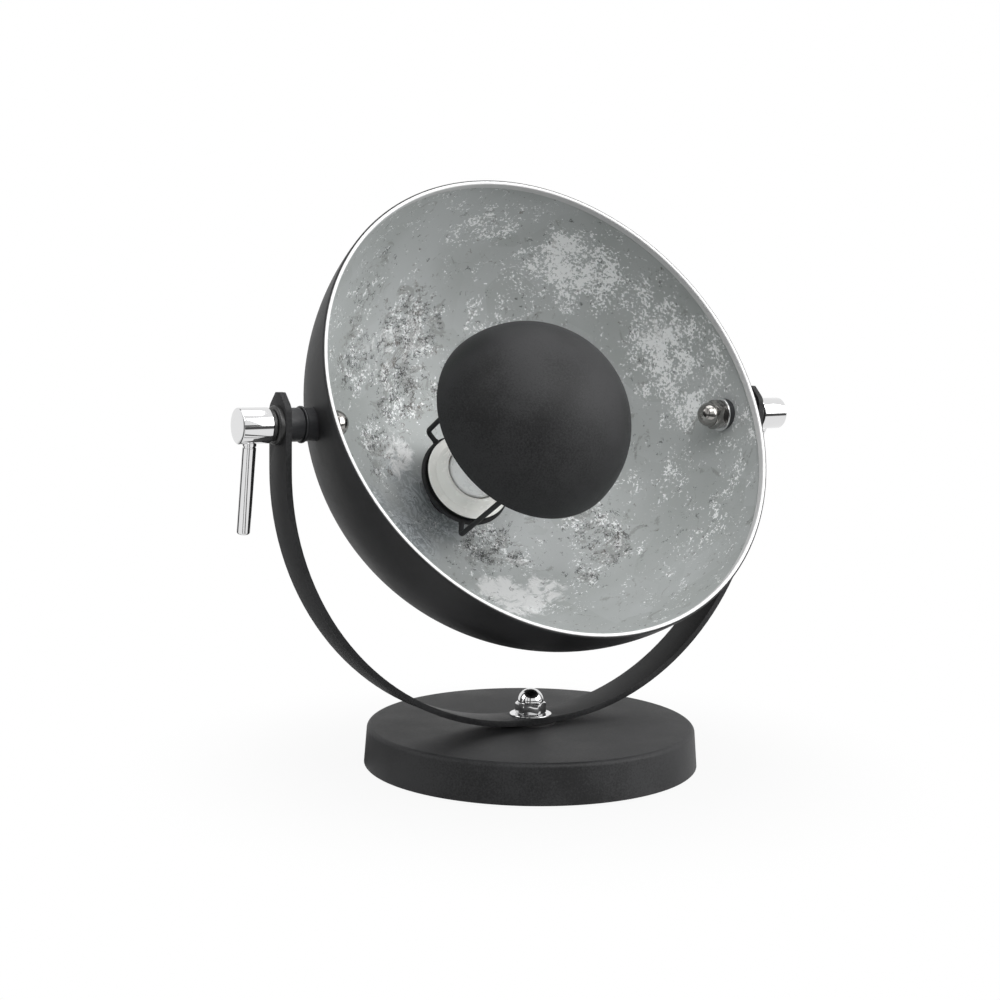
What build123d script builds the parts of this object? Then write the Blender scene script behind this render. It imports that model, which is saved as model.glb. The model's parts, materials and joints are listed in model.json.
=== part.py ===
from build123d import *
from math import cos, radians, sin, sqrt
import os

# A tabletop searchlight lamp: a round weighted foot, a bent strip yoke bolted to it, and a
# hemispherical dish that tilts in the yoke between two clamp knobs. A domed cap on three wire
# legs hides the bulb. Millimetres, +Z up, origin at the centre of the underside of the foot.
# The dish opens towards -Y and is drawn tilted up. The trunnion axis runs along X.

os.makedirs("parts", exist_ok=True)

# ---------------------------------------------------------------- driving dimensions

# Foot
foot_radius = 85.5
foot_top_radius = 84.0
foot_height = 20.5
foot_wall = 1.2
foot_edge_radius = 2.5
skirt_clearance = 0.6
pad_radius = 81.5
pad_thickness = 1.4
plate_radius = 83.4
plate_thickness = 1.2
weight_radius = 72.0
weight_thickness = 10.0
weight_edge_radius = 1.5
plate_screw_circle = 52.0
plate_screw_count = 3
plate_screw_radius = 2.0
plate_screw_length = 8.0
plate_screw_hole_depth = 9.0
plate_screw_head_radius = 3.6
plate_screw_head_height = 1.1
boss_radius = 6.0

# Yoke, a flat strip bent to a U
yoke_half_span = 141.6
yoke_bend_radius = 134.6
yoke_thickness = 3.0
yoke_width = 19.0
yoke_tab_above_pivot = 15.3
yoke_tab_top_width = 4.8
yoke_tab_corner_height = 6.8
yoke_tab_top_rounding = 1.6
yoke_tab_side_rounding = 6.0
pan_friction_thickness = 1.0
pan_friction_radius = 13.0

# Dish
pivot_height = 177.0
rim_ahead_of_pivot = 24.3
tilt_degrees = 28.4
dish_radius = 125.5
dish_wall = 1.2
hem_width = 2.2
hem_height = 3.5
leaf_thickness = 0.3
leaf_lip_radius = 125.0
dish_opening_radius = 12.2

# M8 fasteners of the swivels
bolt_radius = 4.0
running_clearance = 0.08
loose_clearance = 0.4
screw_slack = 0.02
bolt_head_flats = 13.0
bolt_head_height = 5.2
bolt_end_chamfer = 0.5
nut_flats = 13.8
nut_hex_height = 5.6
nut_dome_radius = 6.6
nut_height = 12.6
nut_bore_depth = 8.6
washer_thickness = 1.2
washer_radius = 10.8
washer_chamfer = 0.4

# Stack on each trunnion, as distances along the axis from the lamp's middle
seat_face = 119.3
ridge_start = 129.1
ridge_thickness = 1.4
stud_inner_end = 110.0
spacer_radius = 8.0
ridge_radius = 8.8
seat_radius = 8.6
inner_washer_radius = 9.3

# Outside the arms: the left one carries a domed washer, the right one a thin flat washer
outer_washer_thickness = {"left": 2.8, "right": 0.6}
outer_washer_radius = {"left": 9.3, "right": 8.3}
outer_washer_rounding = {"left": 1.2, "right": 0.2}
collar_thickness = 2.0
collar_radius = 7.5
knob_radius = 8.5
knob_length = 15.1
knob_bore_depth = 11.6
knob_root_chamfer = 1.5
knob_end_chamfer = 0.4
stud_in_knob = 10.6
lever_along_knob = 8.6
lever_radius = 3.25
lever_root = 5.5
lever_reach = 52.0
lever_end_chamfer = 0.5
lever_degrees = {"left": 10.0, "right": 33.0}

# Bulb cap and its wire frame, with stations along the dish axis from the rim plane
cap_edge_station = -28.0
cap_edge_radius = 53.5
cap_height = 48.5
cap_wall = 1.0
wire_radius = 1.4
leg_circle = 33.6
leg_bend = 2.6
leg_ring_radius = 25.0
leg_ring_station = -102.5
leg_angles = (4.0, 118.5, 250.0)

# Lampholder in its tapered cup
cup_radius = leg_ring_radius - wire_radius
cup_wall = 0.7
cup_front = -98.9
cup_shoulder = -105.5
cup_waist_radius = 15.9
cup_waist = -117.0
cup_foot_radius = 12.9
cup_foot = -121.2
cup_back = -123.1
holder_body_radius = 22.5
holder_tail_radius = 11.5
holder_tail_back = -134.0
holder_flange_radius = 24.6
holder_flange_back = -98.8
holder_flange_front = -97.3
holder_flange_edge = 0.4
holder_step_outer_radius = 21.4
holder_step_outer_rise = 0.5
holder_step_radius = 20.4
holder_step_rise = 0.2
holder_step_inner_radius = 19.6
holder_step_inner_rise = 0.9
holder_lip_radius = 17.8
holder_lip_front = -91.0
holder_lip_edge = 0.6
holder_mouth_radius = 15.7
holder_mouth_floor = -96.0
holder_bore_radius = 14.25
holder_bore_floor = -115.6
contact_well_radius = 9.0
contact_well_floor = -127.0
thread_allowance = 0.05
shell_radius = 14.2
shell_bore_radius = 13.4
shell_floor_radius = 10.6
shell_sheet = 0.6
terminal_circle = 8.2
terminal_thread_radius = 1.5
terminal_head_radius = 2.5
terminal_head_height = 2.2
terminal_screw_length = 5.5
terminal_hole_depth = 6.0
tongue_sheet = 0.6
tongue_width = 6.0
tongue_path = ((-8.0, -126.6), (-5.2, -126.6), (-0.5, -120.4), (2.5, -121.6))
nipple_radius = 5.0
nipple_bore_radius = 3.5
nipple_front = -127.4
nipple_back = -153.5

# Bulb with a 27 mm screw cap
globe_radius = 22.5
globe_station = -62.0
globe_wall = 1.2
globe_foot = -78.0
neck_foot_radius = 14.8
neck_waist = -88.5
neck_waist_radius = 15.0
neck_top_radius = 16.4
neck_wall = 2.2
bulb_thread_radius = 13.0
bulb_thread_pitch = 3.6
bulb_thread_turns = 4
bulb_sheet = 0.8
bulb_skirt_top = -93.6
bulb_tip = -120.0
bulb_tip_radius = 4.8
bulb_tip_height = 2.0
bulb_tip_chamfer = 1.2
bulb_shoulder_height = 6.0
bulb_shoulder_radius = 10.4
bulb_shoulder_inner_radius = 9.8
bulb_shoulder_rise = 1.0
bulb_inside_rise = 1.4
bulb_thread_rise = 0.7
thread_section = 1.0
first_turn_height = 9.4
spigot_length = 3.0
spigot_wall = 0.9
neck_floor = 1.2

# Cover and inlet on the back of the dish
rear_cover_radius = 30.0
rear_cover_back = -150.0
rear_cover_depth = 40.0
rear_cover_wall = 1.2
rear_cover_edge_radius = 7.0
inlet_flats = 14.0
inlet_hex_height = 4.0
inlet_nose_radius = 6.2
inlet_bore_radius = 3.3
inlet_nose_rounding = 2.0
inlet_end = -159.0
lock_nut_height = 3.0
earth_station = -131.0
earth_thread_radius = 2.0
earth_screw_length = 8.0
earth_head_radius = 3.6
earth_head_height = 2.0
earth_nut_flats = 7.0
earth_nut_height = 3.0
earth_nut_gap = 0.35

# ---------------------------------------------------------------- frames

dish_axis = Vector(0, -cos(radians(tilt_degrees)), sin(radians(tilt_degrees)))
pivot = Vector(0, 0, pivot_height)
rim_centre = pivot + dish_axis * rim_ahead_of_pivot
dish_spin = Axis(rim_centre, dish_axis)
# In the section plane a point is (distance from the dish axis, station along it).
dish_section = Plane(origin=rim_centre, x_dir=(1, 0, 0), z_dir=(0, -dish_axis.Z, dish_axis.Y))

inner_radius = dish_radius - dish_wall
leaf_radius = inner_radius - leaf_thickness
hem_inner_radius = dish_radius - hem_width
foot_inside_height = foot_height - foot_wall
yoke_underside = foot_height + pan_friction_thickness
yoke_inside = yoke_half_span - yoke_thickness


def dish_level(station):
    """The plane across the dish axis at a station, facing out of the dish."""
    return Plane(origin=rim_centre + dish_axis * station, x_dir=(1, 0, 0), z_dir=dish_axis)


def trunnion_section(side):
    """The section plane of a trunnion: (distance from the lamp's middle, height over its axis)."""
    return Plane(origin=pivot, x_dir=(side, 0, 0), z_dir=(0, -side, 0))


def trunnion_ring(side, start, end, radius, bore):
    """A plain ring round a trunnion axis between two distances from the lamp's middle."""
    with BuildPart() as ring:
        with BuildSketch(Plane(origin=(side * start, 0, pivot_height), z_dir=(side, 0, 0))):
            Circle(radius)
            Circle(bore, mode=Mode.SUBTRACT)
        extrude(amount=end - start)
    return ring


def dish_turning(points):
    """A turned part on the dish axis, from its outline of (radius, station) points."""
    with BuildPart() as turned:
        with BuildSketch(dish_section):
            with BuildLine():
                Polyline(*points, close=True)
            make_face()
        revolve(axis=dish_spin)
    return turned


def dome_nut(seat):
    """A domed cap nut standing on a plane, with the blind hole for its bolt."""
    spin = Axis(seat.origin, seat.z_dir)
    crown = nut_height - nut_dome_radius
    with BuildPart() as nut:
        with BuildSketch(seat):
            RegularPolygon(nut_flats / 2, 6, major_radius=False)
        extrude(amount=nut_hex_height)
        # A cone rounds the hexagon's upper corners off.
        section = Plane(origin=seat.origin, x_dir=seat.x_dir, z_dir=-seat.y_dir)
        with BuildSketch(section):
            with BuildLine():
                Polyline(
                    (0, 0),
                    (nut_flats, 0),
                    (nut_flats / 2, nut_hex_height),
                    (0, nut_hex_height),
                    close=True,
                )
            make_face()
        revolve(axis=spin, mode=Mode.INTERSECT)
        with BuildSketch(section):
            with Locations((0, crown)):
                Circle(nut_dome_radius)
                Rectangle(2 * nut_dome_radius, crown, align=(Align.CENTER, Align.MAX))
            with Locations((0, nut_hex_height - 1)):
                Rectangle(
                    nut_dome_radius,
                    nut_height,
                    align=(Align.MIN, Align.MIN),
                    mode=Mode.INTERSECT,
                )
        revolve(axis=spin)
        with BuildSketch(seat):
            Circle(bolt_radius + running_clearance)
        extrude(amount=nut_bore_depth, mode=Mode.SUBTRACT)
    return nut


# ---------------------------------------------------------------- foot

with BuildPart() as foot_cover:
    with BuildSketch(Plane.XZ):
        with BuildLine():
            Polyline(
                (0, skirt_clearance),
                (foot_radius, skirt_clearance),
                (foot_top_radius, foot_height),
                (0, foot_height),
                close=True,
            )
        make_face()
    revolve(axis=Axis.Z)
    fillet(edges().group_by(Axis.Z)[-1], foot_edge_radius)
    offset(amount=-foot_wall, openings=faces().sort_by(Axis.Z)[0])
    with Locations((0, 0, foot_height)):
        Hole(bolt_radius + running_clearance)
foot_cover.part.label = "foot_cover"
export_step(foot_cover.part, "parts/foot_cover.step")

weight_underside = foot_inside_height - weight_thickness
plate_underside = pad_thickness
plate_top = plate_underside + plate_thickness

# Cast disc with three bosses that carry the bottom plate.
with BuildPart() as foot_weight:
    with BuildSketch(Plane.XY.offset(weight_underside)):
        Circle(weight_radius)
    extrude(amount=weight_thickness)
    fillet(edges().group_by(Axis.Z)[0], weight_edge_radius)
    with BuildSketch(Plane.XY.offset(plate_top)):
        with PolarLocations(plate_screw_circle, plate_screw_count):
            Circle(boss_radius)
    extrude(amount=weight_underside - plate_top)
    with BuildSketch(Plane.XY.offset(plate_top)):
        with PolarLocations(plate_screw_circle, plate_screw_count):
            Circle(plate_screw_radius)
    extrude(amount=plate_screw_hole_depth, mode=Mode.SUBTRACT)
    with BuildSketch(Plane.XY.offset(weight_underside)):
        Circle(bolt_radius + running_clearance)
    extrude(amount=weight_thickness, mode=Mode.SUBTRACT)
foot_weight.part.label = "foot_weight"
export_step(foot_weight.part, "parts/foot_weight.step")

with BuildPart() as foot_plate:
    with BuildSketch(Plane.XY.offset(plate_underside)):
        Circle(plate_radius)
        with PolarLocations(plate_screw_circle, plate_screw_count):
            Circle(plate_screw_radius + running_clearance, mode=Mode.SUBTRACT)
    extrude(amount=plate_thickness)
foot_plate.part.label = "foot_plate"
export_step(foot_plate.part, "parts/foot_plate.step")

with BuildPart() as plate_screws:
    with BuildSketch(Plane.XY.offset(plate_underside - plate_screw_head_height)):
        with PolarLocations(plate_screw_circle, plate_screw_count):
            Circle(plate_screw_head_radius)
    extrude(amount=plate_screw_head_height)
    with BuildSketch(Plane.XY.offset(plate_underside)):
        with PolarLocations(plate_screw_circle, plate_screw_count):
            Circle(plate_screw_radius - screw_slack)
    extrude(amount=plate_screw_length)
plate_screws.part.label = "plate_screws"
export_step(plate_screws.part, "parts/plate_screws.step")

with BuildPart() as foot_pad:
    with BuildSketch(Plane.XY):
        Circle(pad_radius)
        with PolarLocations(plate_screw_circle, plate_screw_count):
            Circle(plate_screw_head_radius + loose_clearance, mode=Mode.SUBTRACT)
    extrude(amount=pad_thickness)
foot_pad.part.label = "foot_pad"
export_step(foot_pad.part, "parts/foot_pad.step")

# ---------------------------------------------------------------- swivel of the yoke on the foot

yoke_top_face = yoke_underside + yoke_thickness
pan_nut_seat = yoke_top_face + washer_thickness
pan_bolt_end = pan_nut_seat + nut_bore_depth - loose_clearance

with BuildPart() as pan_bolt:
    with BuildSketch(Plane.XY.offset(weight_underside)):
        RegularPolygon(bolt_head_flats / 2, 6, major_radius=False)
    extrude(amount=-bolt_head_height)
    with BuildSketch(Plane.XY.offset(weight_underside)):
        Circle(bolt_radius)
    extrude(amount=pan_bolt_end - weight_underside)
pan_bolt.part.label = "pan_bolt"
export_step(pan_bolt.part, "parts/pan_bolt.step")

with BuildPart() as pan_friction_washer:
    with BuildSketch(Plane.XY.offset(foot_height)):
        Circle(pan_friction_radius)
        Circle(bolt_radius + running_clearance, mode=Mode.SUBTRACT)
    extrude(amount=pan_friction_thickness)
pan_friction_washer.part.label = "pan_friction_washer"
export_step(pan_friction_washer.part, "parts/pan_friction_washer.step")

with BuildPart() as pan_washer:
    with BuildSketch(Plane.XY.offset(yoke_top_face)):
        Circle(washer_radius)
        Circle(bolt_radius + running_clearance, mode=Mode.SUBTRACT)
    extrude(amount=washer_thickness)
    chamfer(edges().group_by(Axis.Z)[-1].sort_by(SortBy.RADIUS)[-1], washer_chamfer)
pan_washer.part.label = "pan_washer"
export_step(pan_washer.part, "parts/pan_washer.step")

# One flat of the hexagon faces the front left corner of the lamp.
nut_turn = 32.0
pan_nut = dome_nut(
    Plane(
        origin=(0, 0, pan_nut_seat),
        x_dir=(cos(radians(nut_turn)), -sin(radians(nut_turn)), 0),
        z_dir=(0, 0, 1),
    )
)
pan_nut.part.label = "pan_nut"
export_step(pan_nut.part, "parts/pan_nut.step")

# ---------------------------------------------------------------- yoke

yoke_top = pivot_height + yoke_tab_above_pivot
bend_height = yoke_underside + yoke_bend_radius
bend_inside = yoke_bend_radius - yoke_thickness
flat_half = yoke_half_span - yoke_bend_radius

# The strip runs down one side, round a wide bend, under the nut and up the other side.
with BuildPart() as yoke:
    with BuildSketch(Plane.XZ):
        with BuildLine():
            left_wall = Line((-yoke_half_span, yoke_top), (-yoke_half_span, bend_height))
            left_bend = RadiusArc(left_wall @ 1, (-flat_half, yoke_underside), -yoke_bend_radius)
            floor = Line(left_bend @ 1, (flat_half, yoke_underside))
            right_bend = RadiusArc(floor @ 1, (yoke_half_span, bend_height), -yoke_bend_radius)
            right_wall = Line(right_bend @ 1, (yoke_half_span, yoke_top))
            right_tip = Line(right_wall @ 1, (yoke_inside, yoke_top))
            right_face = Line(right_tip @ 1, (yoke_inside, bend_height))
            right_inside = RadiusArc(right_face @ 1, (flat_half, yoke_top_face), bend_inside)
            seat = Line(right_inside @ 1, (-flat_half, yoke_top_face))
            left_inside = RadiusArc(seat @ 1, (-yoke_inside, bend_height), bend_inside)
            left_face = Line(left_inside @ 1, (-yoke_inside, yoke_top))
            left_tip = Line(left_face @ 1, left_wall @ 0)
        make_face()
    extrude(amount=yoke_width / 2, both=True)
    # Both tips narrow to a short top with softened corners.
    with BuildSketch(Plane.YZ):
        with BuildLine():
            Polyline(
                (-yoke_width / 2, 0),
                (yoke_width / 2, 0),
                (yoke_width / 2, yoke_top - yoke_tab_corner_height),
                (yoke_tab_top_width / 2, yoke_top),
                (-yoke_tab_top_width / 2, yoke_top),
                (-yoke_width / 2, yoke_top - yoke_tab_corner_height),
                close=True,
            )
        make_face()
        fillet(vertices().group_by(Axis.Y)[-1], yoke_tab_top_rounding)
        fillet(vertices().group_by(Axis.Y)[1], yoke_tab_side_rounding)
    extrude(amount=2 * yoke_half_span, both=True, mode=Mode.INTERSECT)
    # The washer's seat is pressed level where the bends begin.
    with BuildSketch(Plane.XY.offset(yoke_top_face)):
        Circle(washer_radius)
    extrude(amount=washer_thickness, mode=Mode.SUBTRACT)
    with Locations(pivot):
        Cylinder(
            bolt_radius + running_clearance,
            3 * yoke_half_span,
            rotation=(0, 90, 0),
            mode=Mode.SUBTRACT,
        )
    with Locations((0, 0, yoke_underside)):
        Cylinder(bolt_radius + running_clearance, 3 * yoke_thickness, mode=Mode.SUBTRACT)
yoke.part.label = "yoke"
export_step(yoke.part, "parts/yoke.step")

# ---------------------------------------------------------------- trunnions, one each side

for side_name, side in (("left", -1), ("right", 1)):
    trunnion_axis = Axis(pivot, (side, 0, 0))
    collar_start = yoke_half_span + outer_washer_thickness[side_name]
    knob_start = collar_start + collar_thickness
    knob_end = knob_start + knob_length
    stud_outer_end = knob_start + stud_in_knob
    lever_turn = radians(lever_degrees[side_name])
    lever_direction = Vector(0, sin(lever_turn), -cos(lever_turn))
    lever_centre = Vector(side * (knob_start + lever_along_knob), 0, pivot_height)

    with BuildPart() as stud:
        with BuildSketch(
            Plane(origin=(side * stud_inner_end, 0, pivot_height), z_dir=(side, 0, 0))
        ):
            Circle(bolt_radius)
        extrude(amount=stud_outer_end - stud_inner_end)
        chamfer(edges().group_by(Axis.X)[0], bolt_end_chamfer)
        chamfer(edges().group_by(Axis.X)[-1], bolt_end_chamfer)
    stud.part.label = f"{side_name}_stud"
    export_step(stud.part, f"parts/{side_name}_stud.step")

    # Rubber seat between the flat washer and the curved inside of the dish.
    with BuildPart() as seat_ring:
        with BuildSketch(Plane(origin=(side * seat_face, 0, pivot_height), z_dir=(side, 0, 0))):
            Circle(seat_radius)
            Circle(bolt_radius + running_clearance, mode=Mode.SUBTRACT)
        extrude(amount=inner_radius - seat_face)
        with Locations(rim_centre):
            Sphere(leaf_radius, mode=Mode.INTERSECT)
    seat_ring.part.label = f"{side_name}_inner_seat"
    export_step(seat_ring.part, f"parts/{side_name}_inner_seat.step")

    inner_washer = trunnion_ring(
        side,
        seat_face - washer_thickness,
        seat_face,
        inner_washer_radius,
        bolt_radius + running_clearance,
    )
    inner_washer.part.label = f"{side_name}_inner_washer"
    export_step(inner_washer.part, f"parts/{side_name}_inner_washer.step")

    inner_nut = dome_nut(
        Plane(
            origin=(side * (seat_face - washer_thickness), 0, pivot_height),
            x_dir=dish_axis,
            z_dir=(-side, 0, 0),
        )
    )
    inner_nut.part.label = f"{side_name}_inner_nut"
    export_step(inner_nut.part, f"parts/{side_name}_inner_nut.step")

    # Rubber spacer whose end is shaped to the outside of the dish.
    with BuildPart() as inner_spacer:
        with BuildSketch(
            Plane(origin=(side * ridge_start, 0, pivot_height), z_dir=(-side, 0, 0))
        ):
            Circle(spacer_radius)
            Circle(bolt_radius + running_clearance, mode=Mode.SUBTRACT)
        extrude(amount=ridge_start - seat_face)
        with Locations(rim_centre):
            Sphere(dish_radius, mode=Mode.SUBTRACT)
    inner_spacer.part.label = f"{side_name}_inner_spacer"
    export_step(inner_spacer.part, f"parts/{side_name}_inner_spacer.step")

    ridge = trunnion_ring(
        side,
        ridge_start,
        ridge_start + ridge_thickness,
        ridge_radius,
        bolt_radius + running_clearance,
    )
    ridge.part.label = f"{side_name}_ridge_washer"
    export_step(ridge.part, f"parts/{side_name}_ridge_washer.step")

    outer_spacer = trunnion_ring(
        side,
        ridge_start + ridge_thickness,
        yoke_inside,
        spacer_radius,
        bolt_radius + running_clearance,
    )
    outer_spacer.part.label = f"{side_name}_outer_spacer"
    export_step(outer_spacer.part, f"parts/{side_name}_outer_spacer.step")

    # Friction washer that stays on the outside of the yoke.
    with BuildPart() as outer_washer:
        with BuildSketch(
            Plane(origin=(side * yoke_half_span, 0, pivot_height), z_dir=(side, 0, 0))
        ):
            Circle(outer_washer_radius[side_name])
            Circle(bolt_radius + loose_clearance, mode=Mode.SUBTRACT)
        extrude(amount=outer_washer_thickness[side_name])
        outer_edges = edges().sort_by(trunnion_axis)[-2:]
        fillet(outer_edges.sort_by(SortBy.RADIUS)[-1], outer_washer_rounding[side_name])
    outer_washer.part.label = f"{side_name}_outer_washer"
    export_step(outer_washer.part, f"parts/{side_name}_outer_washer.step")

    knob_collar = trunnion_ring(
        side, collar_start, knob_start, collar_radius, bolt_radius + loose_clearance
    )
    knob_collar.part.label = f"{side_name}_knob_collar"
    export_step(knob_collar.part, f"parts/{side_name}_knob_collar.step")

    with BuildPart() as clamp_knob:
        with BuildSketch(trunnion_section(side)):
            with BuildLine():
                Polyline(
                    (knob_start, bolt_radius + running_clearance),
                    (knob_start, knob_radius - knob_root_chamfer),
                    (knob_start + knob_root_chamfer, knob_radius),
                    (knob_end - knob_end_chamfer, knob_radius),
                    (knob_end, knob_radius - knob_end_chamfer),
                    (knob_end, 0),
                    (knob_start + knob_bore_depth, 0),
                    (knob_start + knob_bore_depth, bolt_radius + running_clearance),
                    close=True,
                )
            make_face()
        revolve(axis=trunnion_axis)
        with BuildSketch(Plane(origin=lever_centre, z_dir=lever_direction).offset(lever_root)):
            Circle(lever_radius)
        extrude(amount=knob_radius, mode=Mode.SUBTRACT)
    clamp_knob.part.label = f"{side_name}_clamp_knob"
    export_step(clamp_knob.part, f"parts/{side_name}_clamp_knob.step")

    with BuildPart() as lever:
        with BuildSketch(Plane(origin=lever_centre, z_dir=lever_direction).offset(lever_root)):
            Circle(lever_radius)
        extrude(amount=lever_reach - lever_root)
        chamfer(edges().sort_by(Axis(lever_centre, lever_direction))[-1], lever_end_chamfer)
    lever.part.label = f"{side_name}_lever"
    export_step(lever.part, f"parts/{side_name}_lever.step")

# ---------------------------------------------------------------- dish

# Spun bowl with a folded hem at the rim, an opening at its pole and a hole for each stud.
with BuildPart() as dish_shell:
    with BuildSketch(dish_section):
        Circle(dish_radius)
        Circle(inner_radius, mode=Mode.SUBTRACT)
        with Locations((hem_inner_radius, 0)):
            Rectangle(
                hem_width - dish_wall / 2, hem_height, align=(Align.MIN, Align.MAX)
            )
        with Locations((dish_opening_radius, 0)):
            Rectangle(
                dish_radius,
                2 * dish_radius,
                align=(Align.MIN, Align.MAX),
                mode=Mode.INTERSECT,
            )
    revolve(axis=dish_spin)
    with Locations(pivot):
        Cylinder(
            bolt_radius + running_clearance,
            3 * dish_radius,
            rotation=(0, 90, 0),
            mode=Mode.SUBTRACT,
        )
dish_shell.part.label = "dish_shell"
export_step(dish_shell.part, "parts/dish_shell.step")

# The metal leaf inside the bowl, which turns over the hem and ends on the rim.
leaf_edge_radius = hem_inner_radius - leaf_thickness
with BuildPart() as leaf_lining:
    with BuildSketch(dish_section):
        Circle(inner_radius)
        with Locations((hem_inner_radius, 0)):
            Rectangle(hem_width, hem_height, align=(Align.MIN, Align.MAX), mode=Mode.SUBTRACT)
        Circle(leaf_radius, mode=Mode.SUBTRACT)
        with Locations((leaf_edge_radius, -hem_height)):
            Rectangle(
                leaf_thickness, hem_height + leaf_thickness, align=(Align.MIN, Align.MIN)
            )
        with Locations((leaf_edge_radius, -hem_height)):
            Rectangle(
                leaf_radius + leaf_thickness / 2 - leaf_edge_radius,
                leaf_thickness,
                align=(Align.MIN, Align.MAX),
            )
        with Locations((leaf_edge_radius, 0)):
            Rectangle(
                leaf_lip_radius - leaf_edge_radius,
                leaf_thickness,
                align=(Align.MIN, Align.MIN),
            )
        with Locations((dish_opening_radius, leaf_thickness)):
            Rectangle(
                dish_radius,
                2 * dish_radius,
                align=(Align.MIN, Align.MAX),
                mode=Mode.INTERSECT,
            )
    revolve(axis=dish_spin)
    with Locations(pivot):
        Cylinder(
            bolt_radius + running_clearance,
            3 * dish_radius,
            rotation=(0, 90, 0),
            mode=Mode.SUBTRACT,
        )
leaf_lining.part.label = "leaf_lining"
export_step(leaf_lining.part, "parts/leaf_lining.step")

# ---------------------------------------------------------------- bulb cap on its wire frame

cap_sphere_radius = (cap_edge_radius**2 + cap_height**2) / (2 * cap_height)
cap_centre_station = cap_edge_station + cap_height - cap_sphere_radius

with BuildPart() as centre_cap:
    with BuildSketch(dish_section):
        with Locations((0, cap_centre_station)):
            Circle(cap_sphere_radius)
            Circle(cap_sphere_radius - cap_wall, mode=Mode.SUBTRACT)
        with Locations((0, cap_edge_station)):
            Rectangle(
                cap_sphere_radius,
                2 * cap_height,
                align=(Align.MIN, Align.MIN),
                mode=Mode.INTERSECT,
            )
    revolve(axis=dish_spin)
centre_cap.part.label = "centre_cap"
export_step(centre_cap.part, "parts/centre_cap.step")

with BuildPart() as leg_ring:
    with BuildSketch(dish_section):
        with Locations((leg_ring_radius, leg_ring_station)):
            Circle(wire_radius)
    revolve(axis=dish_spin)
leg_ring.part.label = "leg_ring"
export_step(leg_ring.part, "parts/leg_ring.step")

# Each leg leaves the ring outwards, bends and runs forward until it meets the cap's inside.
for leg_number, leg_angle in enumerate(leg_angles, start=1):
    outward = dish_section.x_dir.rotate(Axis((0, 0, 0), dish_axis), leg_angle)
    leg_plane = Plane(origin=rim_centre, x_dir=outward, z_dir=outward.cross(dish_axis))
    with BuildPart() as cap_leg:
        with BuildLine(leg_plane) as leg_path:
            FilletPolyline(
                (leg_ring_radius, leg_ring_station),
                (leg_circle, leg_ring_station),
                (leg_circle, cap_edge_station + cap_height),
                radius=leg_bend,
            )
        with BuildSketch(Plane(origin=leg_path.line @ 0, z_dir=leg_path.line % 0)):
            Circle(wire_radius)
        sweep()
        with BuildSketch(dish_section):
            with Locations((leg_ring_radius, leg_ring_station)):
                Circle(wire_radius)
        revolve(axis=dish_spin, mode=Mode.SUBTRACT)
        with BuildSketch(dish_section):
            with Locations((0, cap_centre_station)):
                Circle(2 * cap_sphere_radius)
                Circle(cap_sphere_radius - cap_wall, mode=Mode.SUBTRACT)
            with Locations((0, cap_centre_station)):
                Rectangle(
                    cap_sphere_radius,
                    2 * cap_sphere_radius,
                    align=(Align.MIN, Align.MIN),
                    mode=Mode.INTERSECT,
                )
        revolve(axis=dish_spin, mode=Mode.SUBTRACT)
    cap_leg.part.label = f"cap_leg_{leg_number}"
    export_step(cap_leg.part, f"parts/cap_leg_{leg_number}.step")

# ---------------------------------------------------------------- lampholder

cup_inside = cup_radius - cup_wall
holder_cup = dish_turning(
    [
        (cup_radius, cup_front),
        (cup_radius, cup_shoulder),
        (cup_waist_radius, cup_waist),
        (cup_foot_radius, cup_foot),
        (cup_foot_radius, cup_back),
        (cup_foot_radius - cup_wall, cup_back),
        (cup_foot_radius - cup_wall, cup_foot),
        (cup_waist_radius - cup_wall, cup_waist),
        (cup_inside, cup_shoulder),
        (cup_inside, cup_front),
    ]
)
holder_cup.part.label = "holder_cup"
export_step(holder_cup.part, "parts/holder_cup.step")

# The glazed face falls in soft steps from the flange to the raised lip round the bulb.
with BuildPart() as lampholder:
    with BuildSketch(dish_section):
        with BuildLine():
            Polyline(
                (nipple_radius + thread_allowance, holder_tail_back),
                (holder_tail_radius, holder_tail_back),
                (holder_tail_radius, cup_foot),
                (cup_waist_radius - 2 * cup_wall, cup_waist),
                (holder_body_radius, cup_shoulder),
                (holder_body_radius, holder_flange_back),
                (holder_flange_radius, holder_flange_back),
                (holder_flange_radius, holder_flange_front - holder_flange_edge),
                (holder_flange_radius - holder_flange_edge, holder_flange_front),
                (holder_step_outer_radius, holder_flange_front + holder_step_outer_rise),
                (holder_step_radius, holder_flange_front + holder_step_rise),
                (holder_step_inner_radius, holder_flange_front + holder_step_inner_rise),
                (holder_lip_radius, holder_lip_front - holder_lip_edge),
                (holder_lip_radius - holder_lip_edge, holder_lip_front),
                (holder_mouth_radius + holder_flange_edge, holder_lip_front),
                (holder_mouth_radius, holder_lip_front - holder_flange_edge),
                (holder_mouth_radius, holder_mouth_floor),
                (holder_bore_radius, holder_mouth_floor),
                (holder_bore_radius, holder_bore_floor),
                (contact_well_radius, holder_bore_floor),
                (contact_well_radius, contact_well_floor),
                (nipple_radius + thread_allowance, contact_well_floor),
                close=True,
            )
        make_face()
    revolve(axis=dish_spin)
    with BuildSketch(dish_level(holder_tail_back)):
        with PolarLocations(terminal_circle, 2):
            Circle(terminal_thread_radius + thread_allowance)
    extrude(amount=terminal_hole_depth, mode=Mode.SUBTRACT)
lampholder.part.label = "lampholder"
export_step(lampholder.part, "parts/lampholder.step")

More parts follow.
